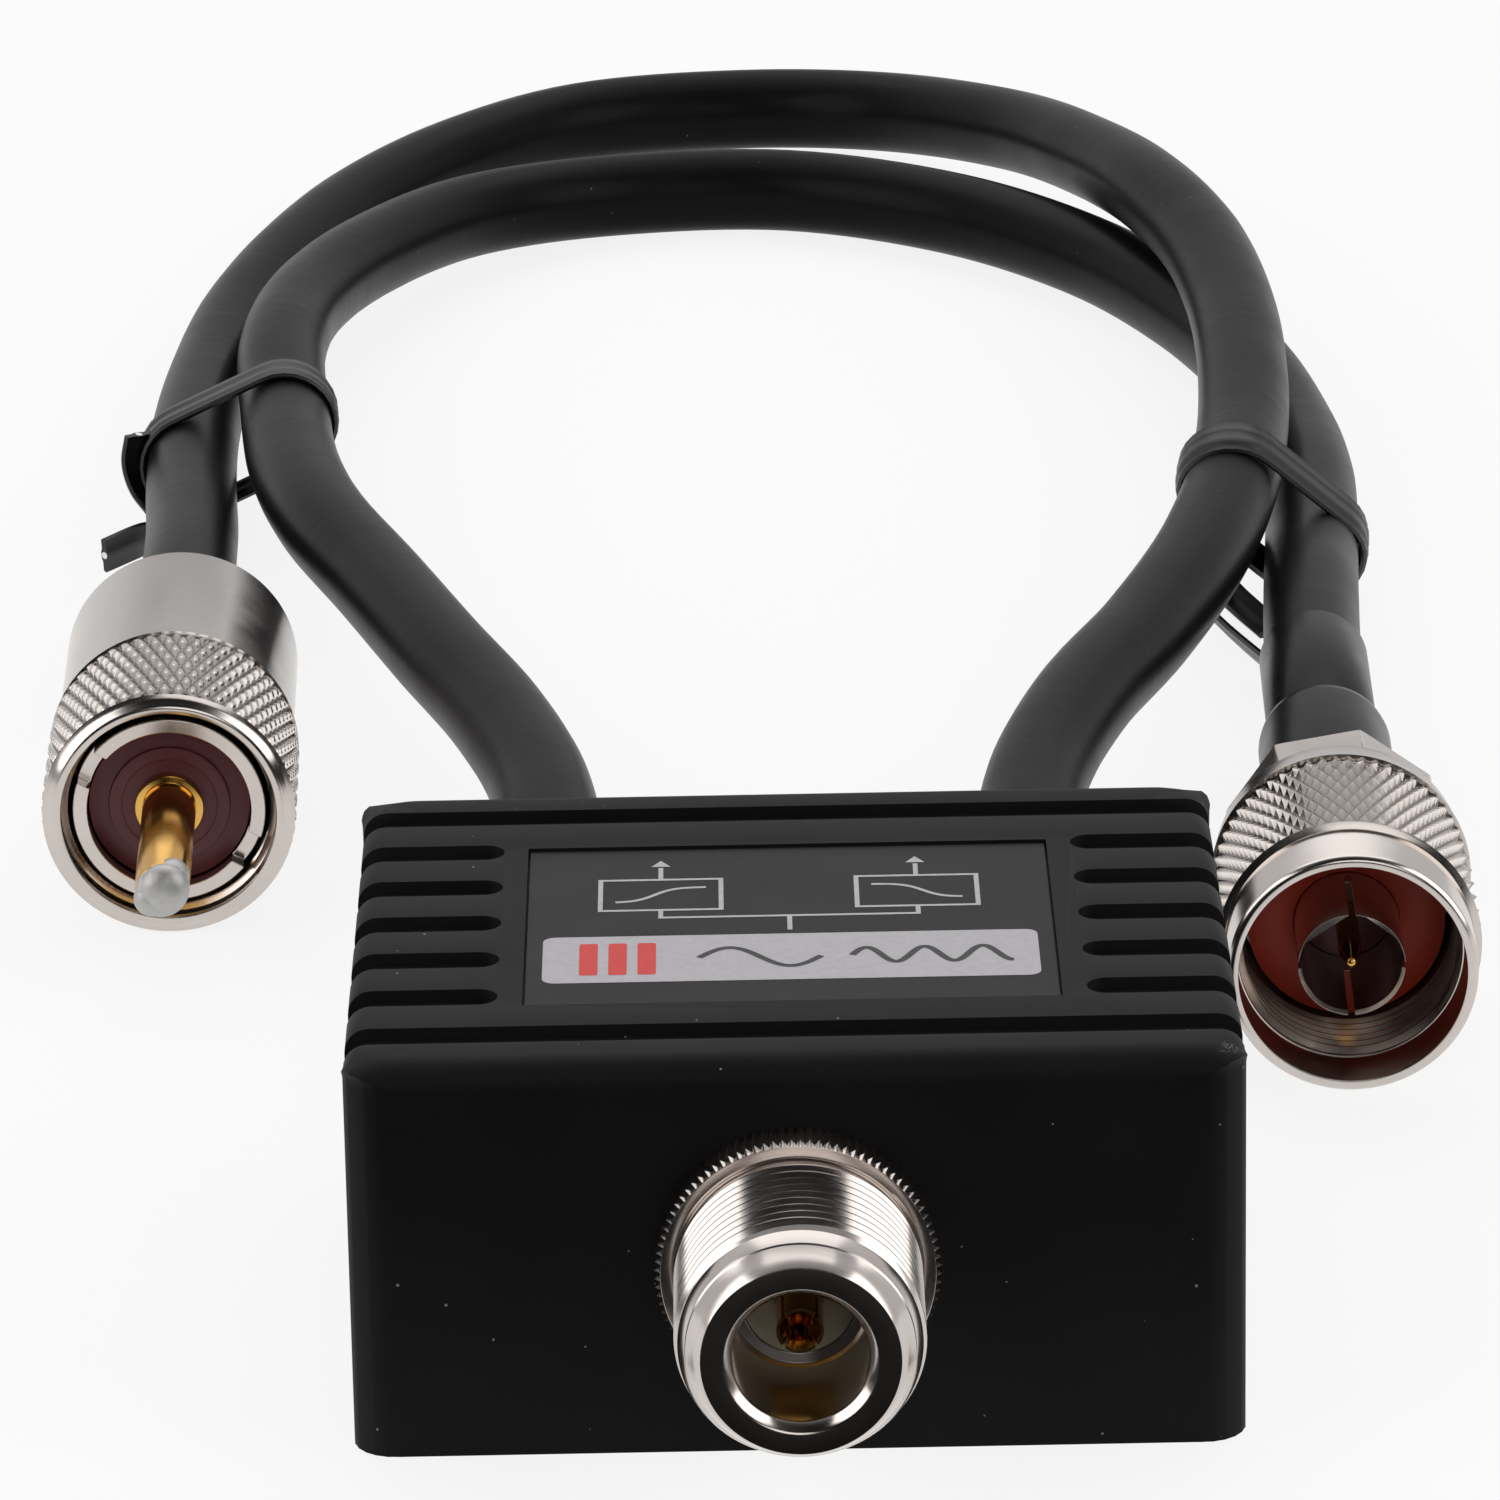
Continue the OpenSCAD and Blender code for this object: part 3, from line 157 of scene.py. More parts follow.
def merged_copy(node):
    """A bmesh of a CAD node with its corners merged and its flat faces whole."""
    bm = bmesh.new()
    bm.from_mesh(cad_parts[node].data)
    bmesh.ops.remove_doubles(bm, verts=bm.verts[:], dist=0.002 * MM)
    bmesh.ops.dissolve_limit(bm, angle_limit=math.radians(1), verts=bm.verts[:], edges=bm.edges[:])
    return bm


def ease_edges(piece, width, segments=3):
    """Rounds a piece's edges a little, as casting, plating or moulding leaves them."""
    bevel = piece.modifiers.new("eased edges", "BEVEL")
    bevel.width = width * MM
    bevel.segments = segments
    bevel.limit_method = "ANGLE"
    bevel.angle_limit = SHARP_ANGLE
    bevel.harden_normals = True


# Fine-textured stove paint: a grit of about 0.2 mm breaks up the shine, so the black looks dry.
# Dust sits on it in specks of up to 0.2 mm, and one front corner is rubbed to a pale speckle.
case_paint, tree, shader = new_finish("stoved_black_paint", {"IOR": 1.45, "Specular IOR Level": 0.09})
here = add(tree, "TexCoord").outputs["Object"]
patches = noise(tree, 9, 4)
dusty = dusted(tree, tone(tree, patches, "#161516", "#1e1d1e"), 1.5, 0.2, 0.125, "#8a8682")
rub_place = Vector((27.6, -23.4, 26.2)) * MM
rub_reach = add(tree, "VectorMath", {0: here, 1: rub_place}, operation="DISTANCE").outputs["Value"]
rub_near = add(tree, "MapRange", {"Value": rub_reach, "From Min": 2.4 * MM, "From Max": 0.4 * MM}).outputs[0]
rub_depth = maths(tree, "MULTIPLY", rub_near, noise(tree, 0.14, 3))
rub = add(tree, "MapRange", {"Value": rub_depth, "From Min": 0.46, "From Max": 0.56}).outputs[0]
rubbed = mix(tree, rub, dusty, colour("#74706b"))
set_surface(tree, shader, rubbed, (patches, 0.46, 0.58), (noise(tree, 0.22, 2), 0.35, 0.03))

CASE_W = 57.5
CASE_D = 50
CASE_H = 27
SIDE_EDGE_R = 1.6
FRONT_EDGE_R = 1.9
UPRIGHT_R = 3
FRONT_CORNER_R = 3.3
REAR_CORNER_R = 4
GROOVE_PITCH = 6.575
GROOVE_W = 2.7
GROOVE_END_X = 19 + GROOVE_W / 2
NEAR = 0.02


def groove_wall(place):
    """The side of a groove's wall that a place in the case lies on, 1 or -1, or 0 off the walls."""
    x, y = abs(place.x) / MM, place.y / MM
    off = y - GROOVE_PITCH * round(y / GROOVE_PITCH)
    on_flank = abs(abs(off) - GROOVE_W / 2) < NEAR
    on_end = x < GROOVE_END_X and abs(math.hypot(GROOVE_END_X - x, off) - GROOVE_W / 2) < NEAR
    return math.copysign(1, off) if on_flank or on_end else 0


def case_depth(place):
    """How deep a place lies below the case's top and sides, in millimetres."""
    out = abs(place.x) / MM - CASE_W / 2 + SIDE_EDGE_R
    above = place.z / MM - CASE_H + SIDE_EDGE_R
    if out > 0 and above > 0:
        return SIDE_EDGE_R - math.hypot(out, above)
    return SIDE_EDGE_R - max(out, above)


# The grooves' lips are well rounded, and their floors slightly, as a casting leaves its die.
case = merged_copy("case_shell")
for low, high, width in ((-1, 0.4, 0.5), (0.6, 1.2, 0.38)):
    edges = []
    for edge in case.edges:
        first, second = (corner.co for corner in edge.verts)
        same_wall = groove_wall(first) * groove_wall(second) > 0
        depth = case_depth((first + second) / 2)
        if same_wall and low < depth < high:
            edges.append(edge)
    bmesh.ops.bevel(
        case, geom=edges, offset=width * MM, segments=4, profile=0.5, affect="EDGES", clamp_overlap=True,
        material=-1,
    )


def cut(bm, faces, place, normal):
    """Cuts these faces of a bmesh along a plane."""
    edges = {edge for face in faces for edge in face.edges}
    corners = {corner for face in faces for corner in face.verts}
    geom = [*corners, *edges, *faces]
    bmesh.ops.bisect_plane(bm, geom=geom, plane_co=Vector(place) * MM, plane_no=normal, dist=WELD)


def corner_round(place):
    """The radius of the nearest upright corner, and how far past its middle a place lies on x and y."""
    radius = REAR_CORNER_R if place.y > 0 else FRONT_CORNER_R
    return radius, abs(place.x) / MM - CASE_W / 2 + radius, abs(place.y) / MM - CASE_D / 2 + radius


# The four corners of the top are rounded like a ball, where two edges and an upright corner meet.
# The last groove's lip runs into the rear corners and keeps its shape there.
LAST_LIP_Y = 3 * GROOVE_PITCH + GROOVE_W / 2 + 0.57
CEILING = 24.5
CUT_HEIGHTS = [25.1 + 0.3 * step for step in range(6)]
CUT_ANGLES = [step * math.pi / 16 for step in range(1, 8)]
for side, end in ((-1, -1), (-1, 1), (1, -1), (1, 1)):
    corner_r = REAR_CORNER_R if end > 0 else FRONT_CORNER_R
    middle = (side * (CASE_W / 2 - corner_r), end * (CASE_D / 2 - corner_r), 0)
    cut(case, case.faces[:], middle, (1, 0, 0))
    cut(case, case.faces[:], middle, (0, 1, 0))
    planes = [((0, 0, height), (0, 0, 1)) for height in CUT_HEIGHTS]
    planes += [(middle, (-side * math.sin(angle), end * math.cos(angle), 0)) for angle in CUT_ANGLES]
    for place, normal in planes:
        in_corner = []
        for face in case.faces:
            face_middle = face.calc_center_median()
            same_corner = face_middle.x * side > 0 and face_middle.y * end > 0
            if same_corner and min(corner_round(face_middle)[1:]) > 0:
                in_corner.append(face)
        cut(case, in_corner, place, normal)
for corner in case.verts:
    corner_r, x, y = corner_round(corner.co)
    reach = math.hypot(x, y)
    on_upright = abs(math.hypot(x + UPRIGHT_R - corner_r, y + UPRIGHT_R - corner_r) - UPRIGHT_R) < 0.04
    if min(x, y) < -0.001 or reach < 0.5 or not (corner.co.z > CEILING * MM or on_upright):
        continue
    if abs(corner.co.y) < LAST_LIP_Y * MM and case_depth(corner.co) > NEAR:
        continue
    edge_r = SIDE_EDGE_R + (FRONT_EDGE_R - SIDE_EDGE_R) * math.atan2(y, x) / (math.pi / 2)
    out, above = reach - corner_r + edge_r, corner.co.z / MM - CASE_H + edge_r
    if above <= 0:
        out = edge_r
    elif out > 0:
        scale = edge_r / math.hypot(out, above)
        out *= scale
        corner.co.z = (CASE_H - edge_r + above * scale) * MM
    stretch = (corner_r - edge_r + out) / reach
    corner.co.x += math.copysign(x * (stretch - 1), corner.co.x) * MM
    corner.co.y += math.copysign(y * (stretch - 1), corner.co.y) * MM
case = keep("case", case, case_paint, "duplexer", "case_paint", "case_shell")
ease_edges(case, 0.2)


def paint(finish, *nodes):
    """Gives CAD nodes that are right as they are their finish."""
    for node in nodes:
        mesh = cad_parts[node].data
        mesh.materials.clear()
        mesh.materials.append(finish)


# Bottom cover
# A flat plate in the same paint, let into the case's underside and held by four countersunk screws.
paint(case_paint, "bottom_cover")

# Blackened steel: a thin oxide, dark and slightly uneven, with a dull metal shine.
black_steel = mottled_finish("blackened_steel", {"Metallic": 1}, 0.8, 3, ("#2b2b2d", "#4a4a4c"), (0.3, 0.5))
paint(black_steel, "cover_screws")


# Label
# A polyester film in a shallow recess on the top, printed from below in dark grey, silver and red.
# Its print here is a plain diagram of the two filters over a silver band, with no words.
LABEL_TOP = 26.8
LABEL_MIDDLE = -0.5
INK_T = 0.015
SECOND_INK_T = 0.012

# Printed film: satin, with a very fine print screen of about 0.15 mm, dulled by handling in patches of 5 mm.
film, tree, shader = new_finish("printed_polyester_film", {"IOR": 1.5, "Specular IOR Level": 0.1})
film_tone = tone(tree, noise(tree, 0.15, 1), "#171618", "#1f1e20")
set_surface(tree, shader, film_tone, (noise(tree, 5, 3), 0.34, 0.46))
paint(film, "label_plate")


def print_place(x, y, width=1, depth=1):
    """A place in the label's plane, in millimetres from its middle, for a print of this size."""
    spot = Matrix.Translation(Vector((x, y + LABEL_MIDDLE, LABEL_TOP + INK_T)) * MM)
    return spot @ Matrix.Diagonal((width * MM, depth * MM, 1, 1))


def print_line(bm, points, width, closed=False):
    """A printed line through these points, mitred at its bends."""
    points = [Vector(point) for point in points]
    ahead = [(b - a).normalized() for a, b in zip(points, points[1:] + points[:1])]
    rails = []
    for i, point in enumerate(points):
        before = ahead[i - 1] if closed or i > 0 else ahead[i]
        after = ahead[i] if closed or i < len(points) - 1 else ahead[i - 1]
        mitre = (before + after).orthogonal() / (1 + before.dot(after)) * width / 2
        rails.append([bm.verts.new(print_place(*(point + side * mitre)).translation) for side in (-1, 1)])
    for first, second in zip(rails, rails[1:] + rails[:1] if closed else rails[1:]):
        bm.faces.new((first[0], second[0], second[1], first[1]))


def print_area(bm, x, y, width, depth, corner):
    """A printed rectangle with round corners."""
    place = print_place(x, y, width, depth)
    area = bmesh.ops.create_grid(bm, x_segments=1, y_segments=1, size=0.5, matrix=place)
    bmesh.ops.bevel(
        bm, geom=area["verts"], affect="VERTICES", offset=corner * MM, segments=4, profile=0.5, material=-1
    )


# Screen inks: opaque, a little duller than the film, with a slight mottle where they lie thin.
inks = {}
for ink_name, thin, full in (
    ("silver_ink", "#a9a5a9", "#bdb9bd"),
    ("red_ink", "#c8302c", "#d43a35"),
    ("pale_ink", "#a5a2a5", "#c4c1c4"),
    ("dark_ink", "#2b2a2c", "#343335"),
):
    ink_surface = {"IOR": 1.5, "Roughness": 0.45, "Specular IOR Level": 0.25}
    inks[ink_name] = mottled_finish(ink_name, ink_surface, 0.6, 3, (thin, full))

BAND_Y = -6
silver = bmesh.new()
print_area(silver, 0, BAND_Y, 32.4, 8.2, 0.8)
keep("label_silver_band", silver, inks["silver_ink"], "duplexer", "label")

red = bmesh.new()
for bar in range(3):
    print_area(red, -13.2 + 1.9 * bar, BAND_Y, 1.2, 5.6, 0.2)
bmesh.ops.translate(red, verts=red.verts[:], vec=(0, 0, SECOND_INK_T * MM))
keep("label_red_bars", red, inks["red_ink"], "duplexer", "label")

waves = bmesh.new()
for start, step, count, height, length in ((-6, 0.25, 33, 1.7, 8), (4, 0.14, 76, 1.3, 3.8)):
    gone = [step * i for i in range(count)]
    wave = [(start + x, BAND_Y + height * math.sin(x * 2 * math.pi / length)) for x in gone]
    print_line(waves, wave, 0.5)
bmesh.ops.translate(waves, verts=waves.verts[:], vec=(0, 0, SECOND_INK_T * MM))
keep("label_waves", waves, inks["dark_ink"], "duplexer", "label")

LINE = 0.32
FORK_Y = 1.4
BOX_X = 8.5
BOX_HALF_W = 4
BOX_LOW = 2.8
BOX_HIGH = 8.4
BOX_FOOT = BOX_LOW - LINE / 2
diagram = bmesh.new()
print_line(diagram, [(0, -1.2), (0, FORK_Y), (-BOX_X, FORK_Y), (-BOX_X, BOX_FOOT)], LINE)
print_line(diagram, [(LINE / 2, FORK_Y), (BOX_X, FORK_Y), (BOX_X, BOX_FOOT)], LINE)
for side in (-1, 1):
    left, right = side * BOX_X - BOX_HALF_W, side * BOX_X + BOX_HALF_W
    box = [(left, BOX_LOW), (right, BOX_LOW), (right, BOX_HIGH), (left, BOX_HIGH)]
    print_line(diagram, box, LINE, closed=True)
    print_line(diagram, [(side * BOX_X, BOX_HIGH + LINE / 2), (side * BOX_X, 10.6)], LINE)
    bmesh.ops.create_circle(
        diagram, cap_ends=True, segments=3, radius=0.75, matrix=print_place(side * BOX_X, 11.2)
    )
pass_curve = [(0.2 * i, 2.6 / (1 + math.exp(1.6 * (0.2 * i - 3.4)))) for i in range(31)]
for side in (1, -1):
    print_line(diagram, [(side * (5.5 + x), 4.3 + y) for x, y in pass_curve], LINE)
keep("label_diagram", diagram, inks["pale_ink"], "duplexer", "label")


# Filter board
# A glass-fibre board hung on posts inside the case, with a tinned screen between the two filters.
# Wound coils and disc capacitors are soldered to it. None of it shows while the cover is on.
# Glass-fibre board: green solder mask over a weave of about 1 mm, glossy.
board_mask, tree, shader = new_finish("green_solder_mask", {"IOR": 1.5, "Roughness": 0.3})
here = add(tree, "TexCoord").outputs["Object"]
threads = [
    add(tree, "TexWave", {"Vector": here, "Scale": 1 / (3.2 * MM), "Distortion": 0.6}, bands_direction=way)
    for way in "XY"
]
weave = maths(tree, "MULTIPLY", *(thread.outputs["Fac"] for thread in threads))
set_surface(tree, shader, tone(tree, weave, "#1f5a34", "#2c7041"), relief=(weave, 0.2, 0.02))
paint(board_mask, "circuit_board")

# Tin plate: dull silver with soft cloudy patches of about 2 mm.
tin_plate = mottled_finish("dull_tin_plate", {"Metallic": 1}, 2, 4, ("#aeaeac", "#cbcbc8"), (0.3, 0.5))
paint(tin_plate, "screen_plate", "board_screws", "jack_washer", "jack_wire", "n_snap_ring")


def streaks(tree, across, along):
    """Noise with spots of these sizes in millimetres across and along the case's depth."""
    here = add(tree, "TexCoord").outputs["Object"]
    scale = (1 / (across * MM), 1 / (along * MM), 1 / (across * MM))
    stretched = add(tree, "Mapping", {"Vector": here, "Scale": scale})
    return add(tree, "TexNoise", {"Vector": stretched.outputs[0], "Scale": 1, "Detail": 2}).outputs["Fac"]


# Bare brass: yellow metal with fine drawing lines.
brass, tree, shader = new_finish("bare_brass", {"Metallic": 1})
lines = streaks(tree, 0.2, 4)
set_surface(tree, shader, tone(tree, lines, "#a98a4e", "#c9a866"), (lines, 0.25, 0.4))
paint(brass, "left_lead_clamp", "right_lead_clamp")

# Dipped coat: an orange-brown resin, glossy, with slight sags of about 1.5 mm.
dip_surface = {"IOR": 1.5, "Roughness": 0.25}
dip = mottled_finish("dipped_resin", dip_surface, 1.5, 2, ("#a5622a", "#bf7a38"), relief=(0.4, 0.1))
paint(dip, "low_capacitor_1", "low_capacitor_2", "high_capacitor_1", "high_capacitor_2")


def course(places, breadths):
    """Frames along a course: x across it in the given direction, z ahead."""
    frames = []
    for i, place in enumerate(places):
        ahead = (places[min(i + 1, len(places) - 1)] - places[max(i - 1, 0)]).normalized()
        across = breadths[i % len(breadths)]
        across = (across - across.project(ahead)).normalized()
        turned_frame = Matrix((across, ahead.cross(across), ahead)).transposed().to_4x4()
        frames.append(Matrix.Translation(place) @ turned_frame)
    return frames


def draw_out(bm, section, frames):
    """Extrudes a section along a course's frames, and keeps each corner's way along in the attribute way."""
    way = bm.verts.layers.float.get("way") or bm.verts.layers.float.new("way")
    start = [bm.verts.new(frames[0] @ Vector((x, y, 0))) for x, y in section]
    end = bm.faces.new(start)
    gone = 0
    for before, after in zip(frames, frames[1:]):
        end = bmesh.ops.extrude_discrete_faces(bm, faces=[end])["faces"][0]
        bmesh.ops.transform(bm, matrix=after @ before.inverted(), verts=end.verts[:])
        gone += (after.translation - before.translation).length
        for corner in end.verts:
            corner[way] = gone
    bm.faces.new(reversed(start))


def disc(radius, sides):
    """A round section."""
    angles = [2 * math.pi * k / sides for k in range(sides)]
    return [(radius * math.cos(angle), radius * math.sin(angle)) for angle in angles]


# Enamelled copper: reddish metal under a clear amber enamel, smooth and glossy.
enamel = {"Metallic": 1, "Coat Weight": 0.6, "Coat Roughness": 0.1}
copper = mottled_finish("enamelled_copper", enamel, 1.2, 2, ("#a85a2b", "#c77a45"), (0.2, 0.35))
paint(copper, "high_band_wire", "low_band_wire")

COIL_WIRE = 1.0
COIL_PITCH = 1.8
COIL_STEPS = 24
for coil, turns in (
    ("low_coil_1", 3), ("low_coil_2", 3), ("low_coil_3", 3), ("high_coil_1", 2), ("high_coil_2", 2)
):
    low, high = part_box(coil)
    radius = (high.x - low.x) / 2 - COIL_WIRE * MM / 2
    middle = Vector(((low.x + high.x) / 2, low.y + COIL_WIRE * MM / 2, high.z - radius - COIL_WIRE * MM / 2))
    foot = low.z - middle.z
    wire_course = [middle + Vector((radius, 0, foot)), middle + Vector((radius, 0, foot / 2))]
    for i in range(int(COIL_STEPS * (turns + 0.5)) + 1):
        angle = 2 * math.pi * i / COIL_STEPS
        rise = COIL_PITCH * MM * i / COIL_STEPS
        wire_course.append(middle + Vector((radius * math.cos(angle), rise, radius * math.sin(angle))))
    last = wire_course[-1]
    wire_course += [Vector((last.x, last.y, middle.z + foot / 2)), Vector((last.x, last.y, low.z))]
    wound = bmesh.new()
    draw_out(wound, disc(COIL_WIRE * MM / 2, 10), course(wire_course, [Vector((0, 1, 0))]))
    keep(coil + "_wound", wound, copper, "duplexer", "copper", coil)


# Antenna jack
# A turned brass jack, plated with nickel, pushed through the front wall from inside. A knurled ring nut
# holds it. Its bore has a white insulator and a slotted gold contact, and its outside a fine thread.
AT_JACK = Matrix.Translation(Vector((0, -25, 13.5)) * MM) @ Matrix.Rotation(math.pi / 2, 4, "X")


def eased(profile, ease):
    """A closed profile with its corners slightly rounded."""
    eased_points = []
    for i, corner in enumerate(profile):
        corner = Vector(corner)
        before = Vector(profile[i - 1]) - corner
        after = Vector(profile[(i + 1) % len(profile)]) - corner
        if corner.x < 0.01 or before.angle(after) > math.radians(165):
            eased_points.append(corner)
            continue
        reach = min(ease, 0.4 * before.length, 0.4 * after.length)
        first = corner + reach * before.normalized()
        last = corner + reach * after.normalized()
        eased_points += [first, (first + last) / 4 + corner / 2, last]
    return eased_points


def turn_on_lathe(profile, steps, ease=0.12):
    """A bmesh turned from a closed profile of (radius, height along the axis), in millimetres."""
    bm = bmesh.new()
    corners = [bm.verts.new((x * MM, 0, z * MM)) for x, z in eased(profile, ease)]
    rim = [bm.edges.new(pair) for pair in zip(corners, corners[1:] + corners[:1])]
    bmesh.ops.spin(
        bm, geom=corners + rim, cent=(0, 0, 0), axis=(0, 0, 1), angle=2 * math.pi, steps=steps, use_merge=True
    )
    bmesh.ops.remove_doubles(bm, verts=bm.verts[:], dist=WELD)
    bmesh.ops.recalc_face_normals(bm, faces=bm.faces[:])
    return bm


def cut_thread(bm, crest, root, start, end):
    """Adds a screw thread of 24 turns to the inch that fades out at two heights, all in millimetres."""
    pitch = 25.4 / 24
    steps = 96
    run_out = 0.6
    ridge = bmesh.new()
    corners = []
    for turn in range(int((end - start) / pitch) + 3):
        foot = start + (turn - 2) * pitch
        corners += [
            ridge.verts.new((radius * MM, 0, (foot + part * pitch) * MM))
            for radius, part in ((root, 0.06), (crest, 0.42), (crest, 0.56), (root, 0.94))
        ]
    edges = [ridge.edges.new(pair) for pair in zip(corners, corners[1:])]
    bmesh.ops.spin(
        ridge, geom=corners + edges, cent=(0, 0, 0), axis=(0, 0, 1), dvec=(0, 0, pitch * MM / steps),
        angle=2 * math.pi, steps=steps
    )
    bmesh.ops.remove_doubles(ridge, verts=ridge.verts[:], dist=WELD)
    for corner in ridge.verts:
        corner.co.z = min(max(corner.co.z, start * MM), end * MM)
        flank = Vector((corner.co.x, corner.co.y))
        height = corner.co.z / MM
        fade = min(1, (height - start) / run_out, (end - height) / run_out)
        flank *= (root * MM + (flank.length - root * MM) * fade) / flank.length
        corner.co.x, corner.co.y = flank
    bmesh.ops.dissolve_degenerate(ridge, edges=ridge.edges[:], dist=WELD)
    bmesh.ops.recalc_face_normals(ridge, faces=ridge.faces[:])
    outward = 0
    for face in ridge.faces:
        face_middle = face.calc_center_median()
        outward += face.normal.dot(Vector((face_middle.x, face_middle.y, 0)))
    if (outward > 0) != (crest > root):
        bmesh.ops.reverse_faces(ridge, faces=ridge.faces[:])
    thread = bpy.data.meshes.new("thread")
    ridge.to_mesh(thread)
    ridge.free()
    bm.from_mesh(thread)
    bpy.data.meshes.remove(thread)


# Nickel plate on turned brass: warm light grey, bright, with turning marks of about 0.15 mm along the
# axis of the plugs and the jack, which all lie along the case's depth, and a few faint dull patches.
# The cuts of a knurl are darkened to a brown as painted shade, which the attribute cut brings in.
nickel, tree, shader = new_finish("nickel_plate", {"Metallic": 1})
turning = streaks(tree, 3, 0.15)
cloud = noise(tree, 4, 3)
# Painted shade: a darker brown in the knurl's cuts, following the attribute cut.
cut_shade = maths(tree, "MULTIPLY", add(tree, "Attribute", attribute_name="cut").outputs["Fac"], 0.5)
cut_shaded = mix(tree, cut_shade, tone(tree, cloud, "#c3bab4", "#d6cec8"), colour("#5d534b"))
wear = maths(tree, "MULTIPLY", maths(tree, "MULTIPLY", turning, cloud), 2)
set_surface(tree, shader, cut_shaded, (wear, 0.12, 0.26), (turning, 0.12, 0.01))

jack = turn_on_lathe(
    [
        (4.3, 7.1), (4.3, 16.0), (4.9, 16.6), (6.3, 16.6), (6.75, 15.75), (7.18, 14.85), (7.26, 14.8),
        (7.72, 13.75), (7.5, 13.6), (7.5, 3.0), (7.7375, 3.0), (7.7375, -3.4), (9.8, -3.4), (9.8, -5.6),
        (5.0, -5.6), (5.0, -8.6), (3.6, -8.6), (3.6, 7.1),
    ],
    128,
)
cut_thread(jack, 7.92, 7.52, 3.0, 13.7)
jack.transform(AT_JACK)
keep("jack", jack, nickel, "duplexer", "nickel", "jack_body")


def ridge_height(place):
    """How far a place between two cuts of a knurling tool rises: 0 in a cut, 1 halfway."""
    return 1 - 2 * abs(place - math.floor(place) - 0.5)


RING_TEETH = 96
RING_TOOTH_SHARE = 0.045
ring = turn_on_lathe(
    [(7.76, 0), (9.15, 0), (9.15, 2.5), (8.75, 2.9), (8.1, 2.9), (7.76, 2.75)], RING_TEETH * 4, 0.02
)
for corner in ring.verts:
    flank = Vector((corner.co.x, corner.co.y))
    if flank.length > 8.8 * MM:
        tooth = ridge_height(math.atan2(flank.y, flank.x) / (2 * math.pi) * RING_TEETH)
        flank *= 1 - RING_TOOTH_SHARE * (1 - tooth)
        corner.co.x, corner.co.y = flank
ring.transform(AT_JACK)
keep("jack_ring", ring, nickel, "duplexer", "nickel", "jack_ring_nut")

# White fluoroplastic: waxy, slightly translucent and yellowed with age, soft shine.
waxy = {"IOR": 1.38, "Subsurface Weight": 0.1}
white_plastic = mottled_finish("white_fluoroplastic", waxy, 1.5, 2, ("#b5a890", "#c6baa4"), (0.35, 0.5))
paint(white_plastic, "jack_insulator", "high_band_insulation", "low_band_insulation")

# Gold plate on turned brass: deep yellow, bright, slightly rubbed, with fine turning marks.
gold, tree, shader = new_finish("gold_plate", {"Metallic": 1})
turning = streaks(tree, 2, 0.12)
set_surface(tree, shader, tone(tree, turning, "#cf9d47", "#e2b566"), (turning, 0.1, 0.22))
contact = keep("jack_contact_plated", merged_copy("jack_contact"), gold, "duplexer", "gold", "jack_contact")
ease_edges(contact, 0.04, 2)


# Grommets
# Moulded rubber rings in two holes of the rear wall, which keep the leads from chafing.
# Moulded black rubber: matt, with a fine bloom in patches of about 2 mm.
rubber = mottled_finish("moulded_black_rubber", {"IOR": 1.5}, 2, 4, ("#161617", "#242425"), (0.55, 0.75))
for grommet, x in (("left_grommet", -16.5), ("right_grommet", 16.5)):
    ring = turn_on_lathe(
        [
            (3.77, -3.8), (6.45, -3.8), (6.45, -2.6), (5.25, -2.6), (5.25, 0), (6.45, 0), (6.05, 1.2),
            (3.77, 1.2),
        ],
        64, 0.35,
    )
    ring.transform(Matrix.Translation(Vector((x, 25, 13.5)) * MM) @ Matrix.Rotation(-math.pi / 2, 4, "X"))
    keep(grommet + "_ring", ring, rubber, "duplexer", "black_rubber", grommet)


# Leads
# Two coaxial leads of 7.5 mm with an extruded black vinyl jacket. They leave the rear of the case, cross
# in a loop behind it and come forward to their plugs, as they were laid down for the photograph.
LEAD_R = 3.75


def plug_frame(lip, turn):
    """A plug's own frame: z goes back from the lip along its axis, and -y is up."""
    spot = Matrix.Translation(Vector(lip) * MM) @ Matrix.Rotation(math.radians(turn), 4, "Z")
    return spot @ Matrix.Rotation(-math.pi / 2, 4, "X")


AT_PL = plug_frame((-45.2, 68.4, 9.5), 1.2)
AT_N = plug_frame((39.5, 32.2, 9.5), -1.4)
high_band_route = [
    (-16.5, 10, 13.5), (-16.5, 25, 13.5), (-16.5, 43, 13.5), (-17.5, 61, 13.5), (-21, 78.5, 13),
    (-26, 95.5, 12.5), (-31, 113, 12), (-36, 130, 11.5), (-39, 147, 10.5), (-40.5, 164.5, 9.5),
    (-41.5, 183, 9.2), (-40, 201.5, 8), (-35, 220, 6.5), (-26.5, 236.5, 5), (-13.5, 245.5, 4),
    (2.5, 246, 4), (17.5, 237.5, 4), (29, 223.5, 4), (36.5, 207.5, 4), (41.5, 190.5, 4), (44, 172.5, 4.2),
    (44.5, 154, 5.5), (43.5, 136, 6.5), (42.2, 117, 8.5),
]
low_band_route = [
    (16.5, 10, 13.5), (16.5, 25, 13.5), (17, 43, 13.5), (18.5, 61.5, 13.5), (22.5, 78.5, 13.5), (28, 95, 13),
    (33, 112, 13), (36.5, 129, 13), (38.5, 146, 12.5), (39.5, 163.5, 12.5), (39.5, 181, 12.5),
    (38, 199, 12.5), (34.5, 216.5, 12), (30, 234.5, 10), (23.5, 252.5, 7.5), (12.5, 268, 5),
    (-1.5, 273.5, 4), (-17, 270, 4), (-29, 258, 4), (-37.5, 242.5, 4), (-43, 225.5, 4), (-46.5, 208.5, 4),
    (-48, 191, 4.5), (-48.5, 173, 5.5), (-48, 155, 6.5), (-47, 137.5, 8), (-46.5, 120, 9.2),
]


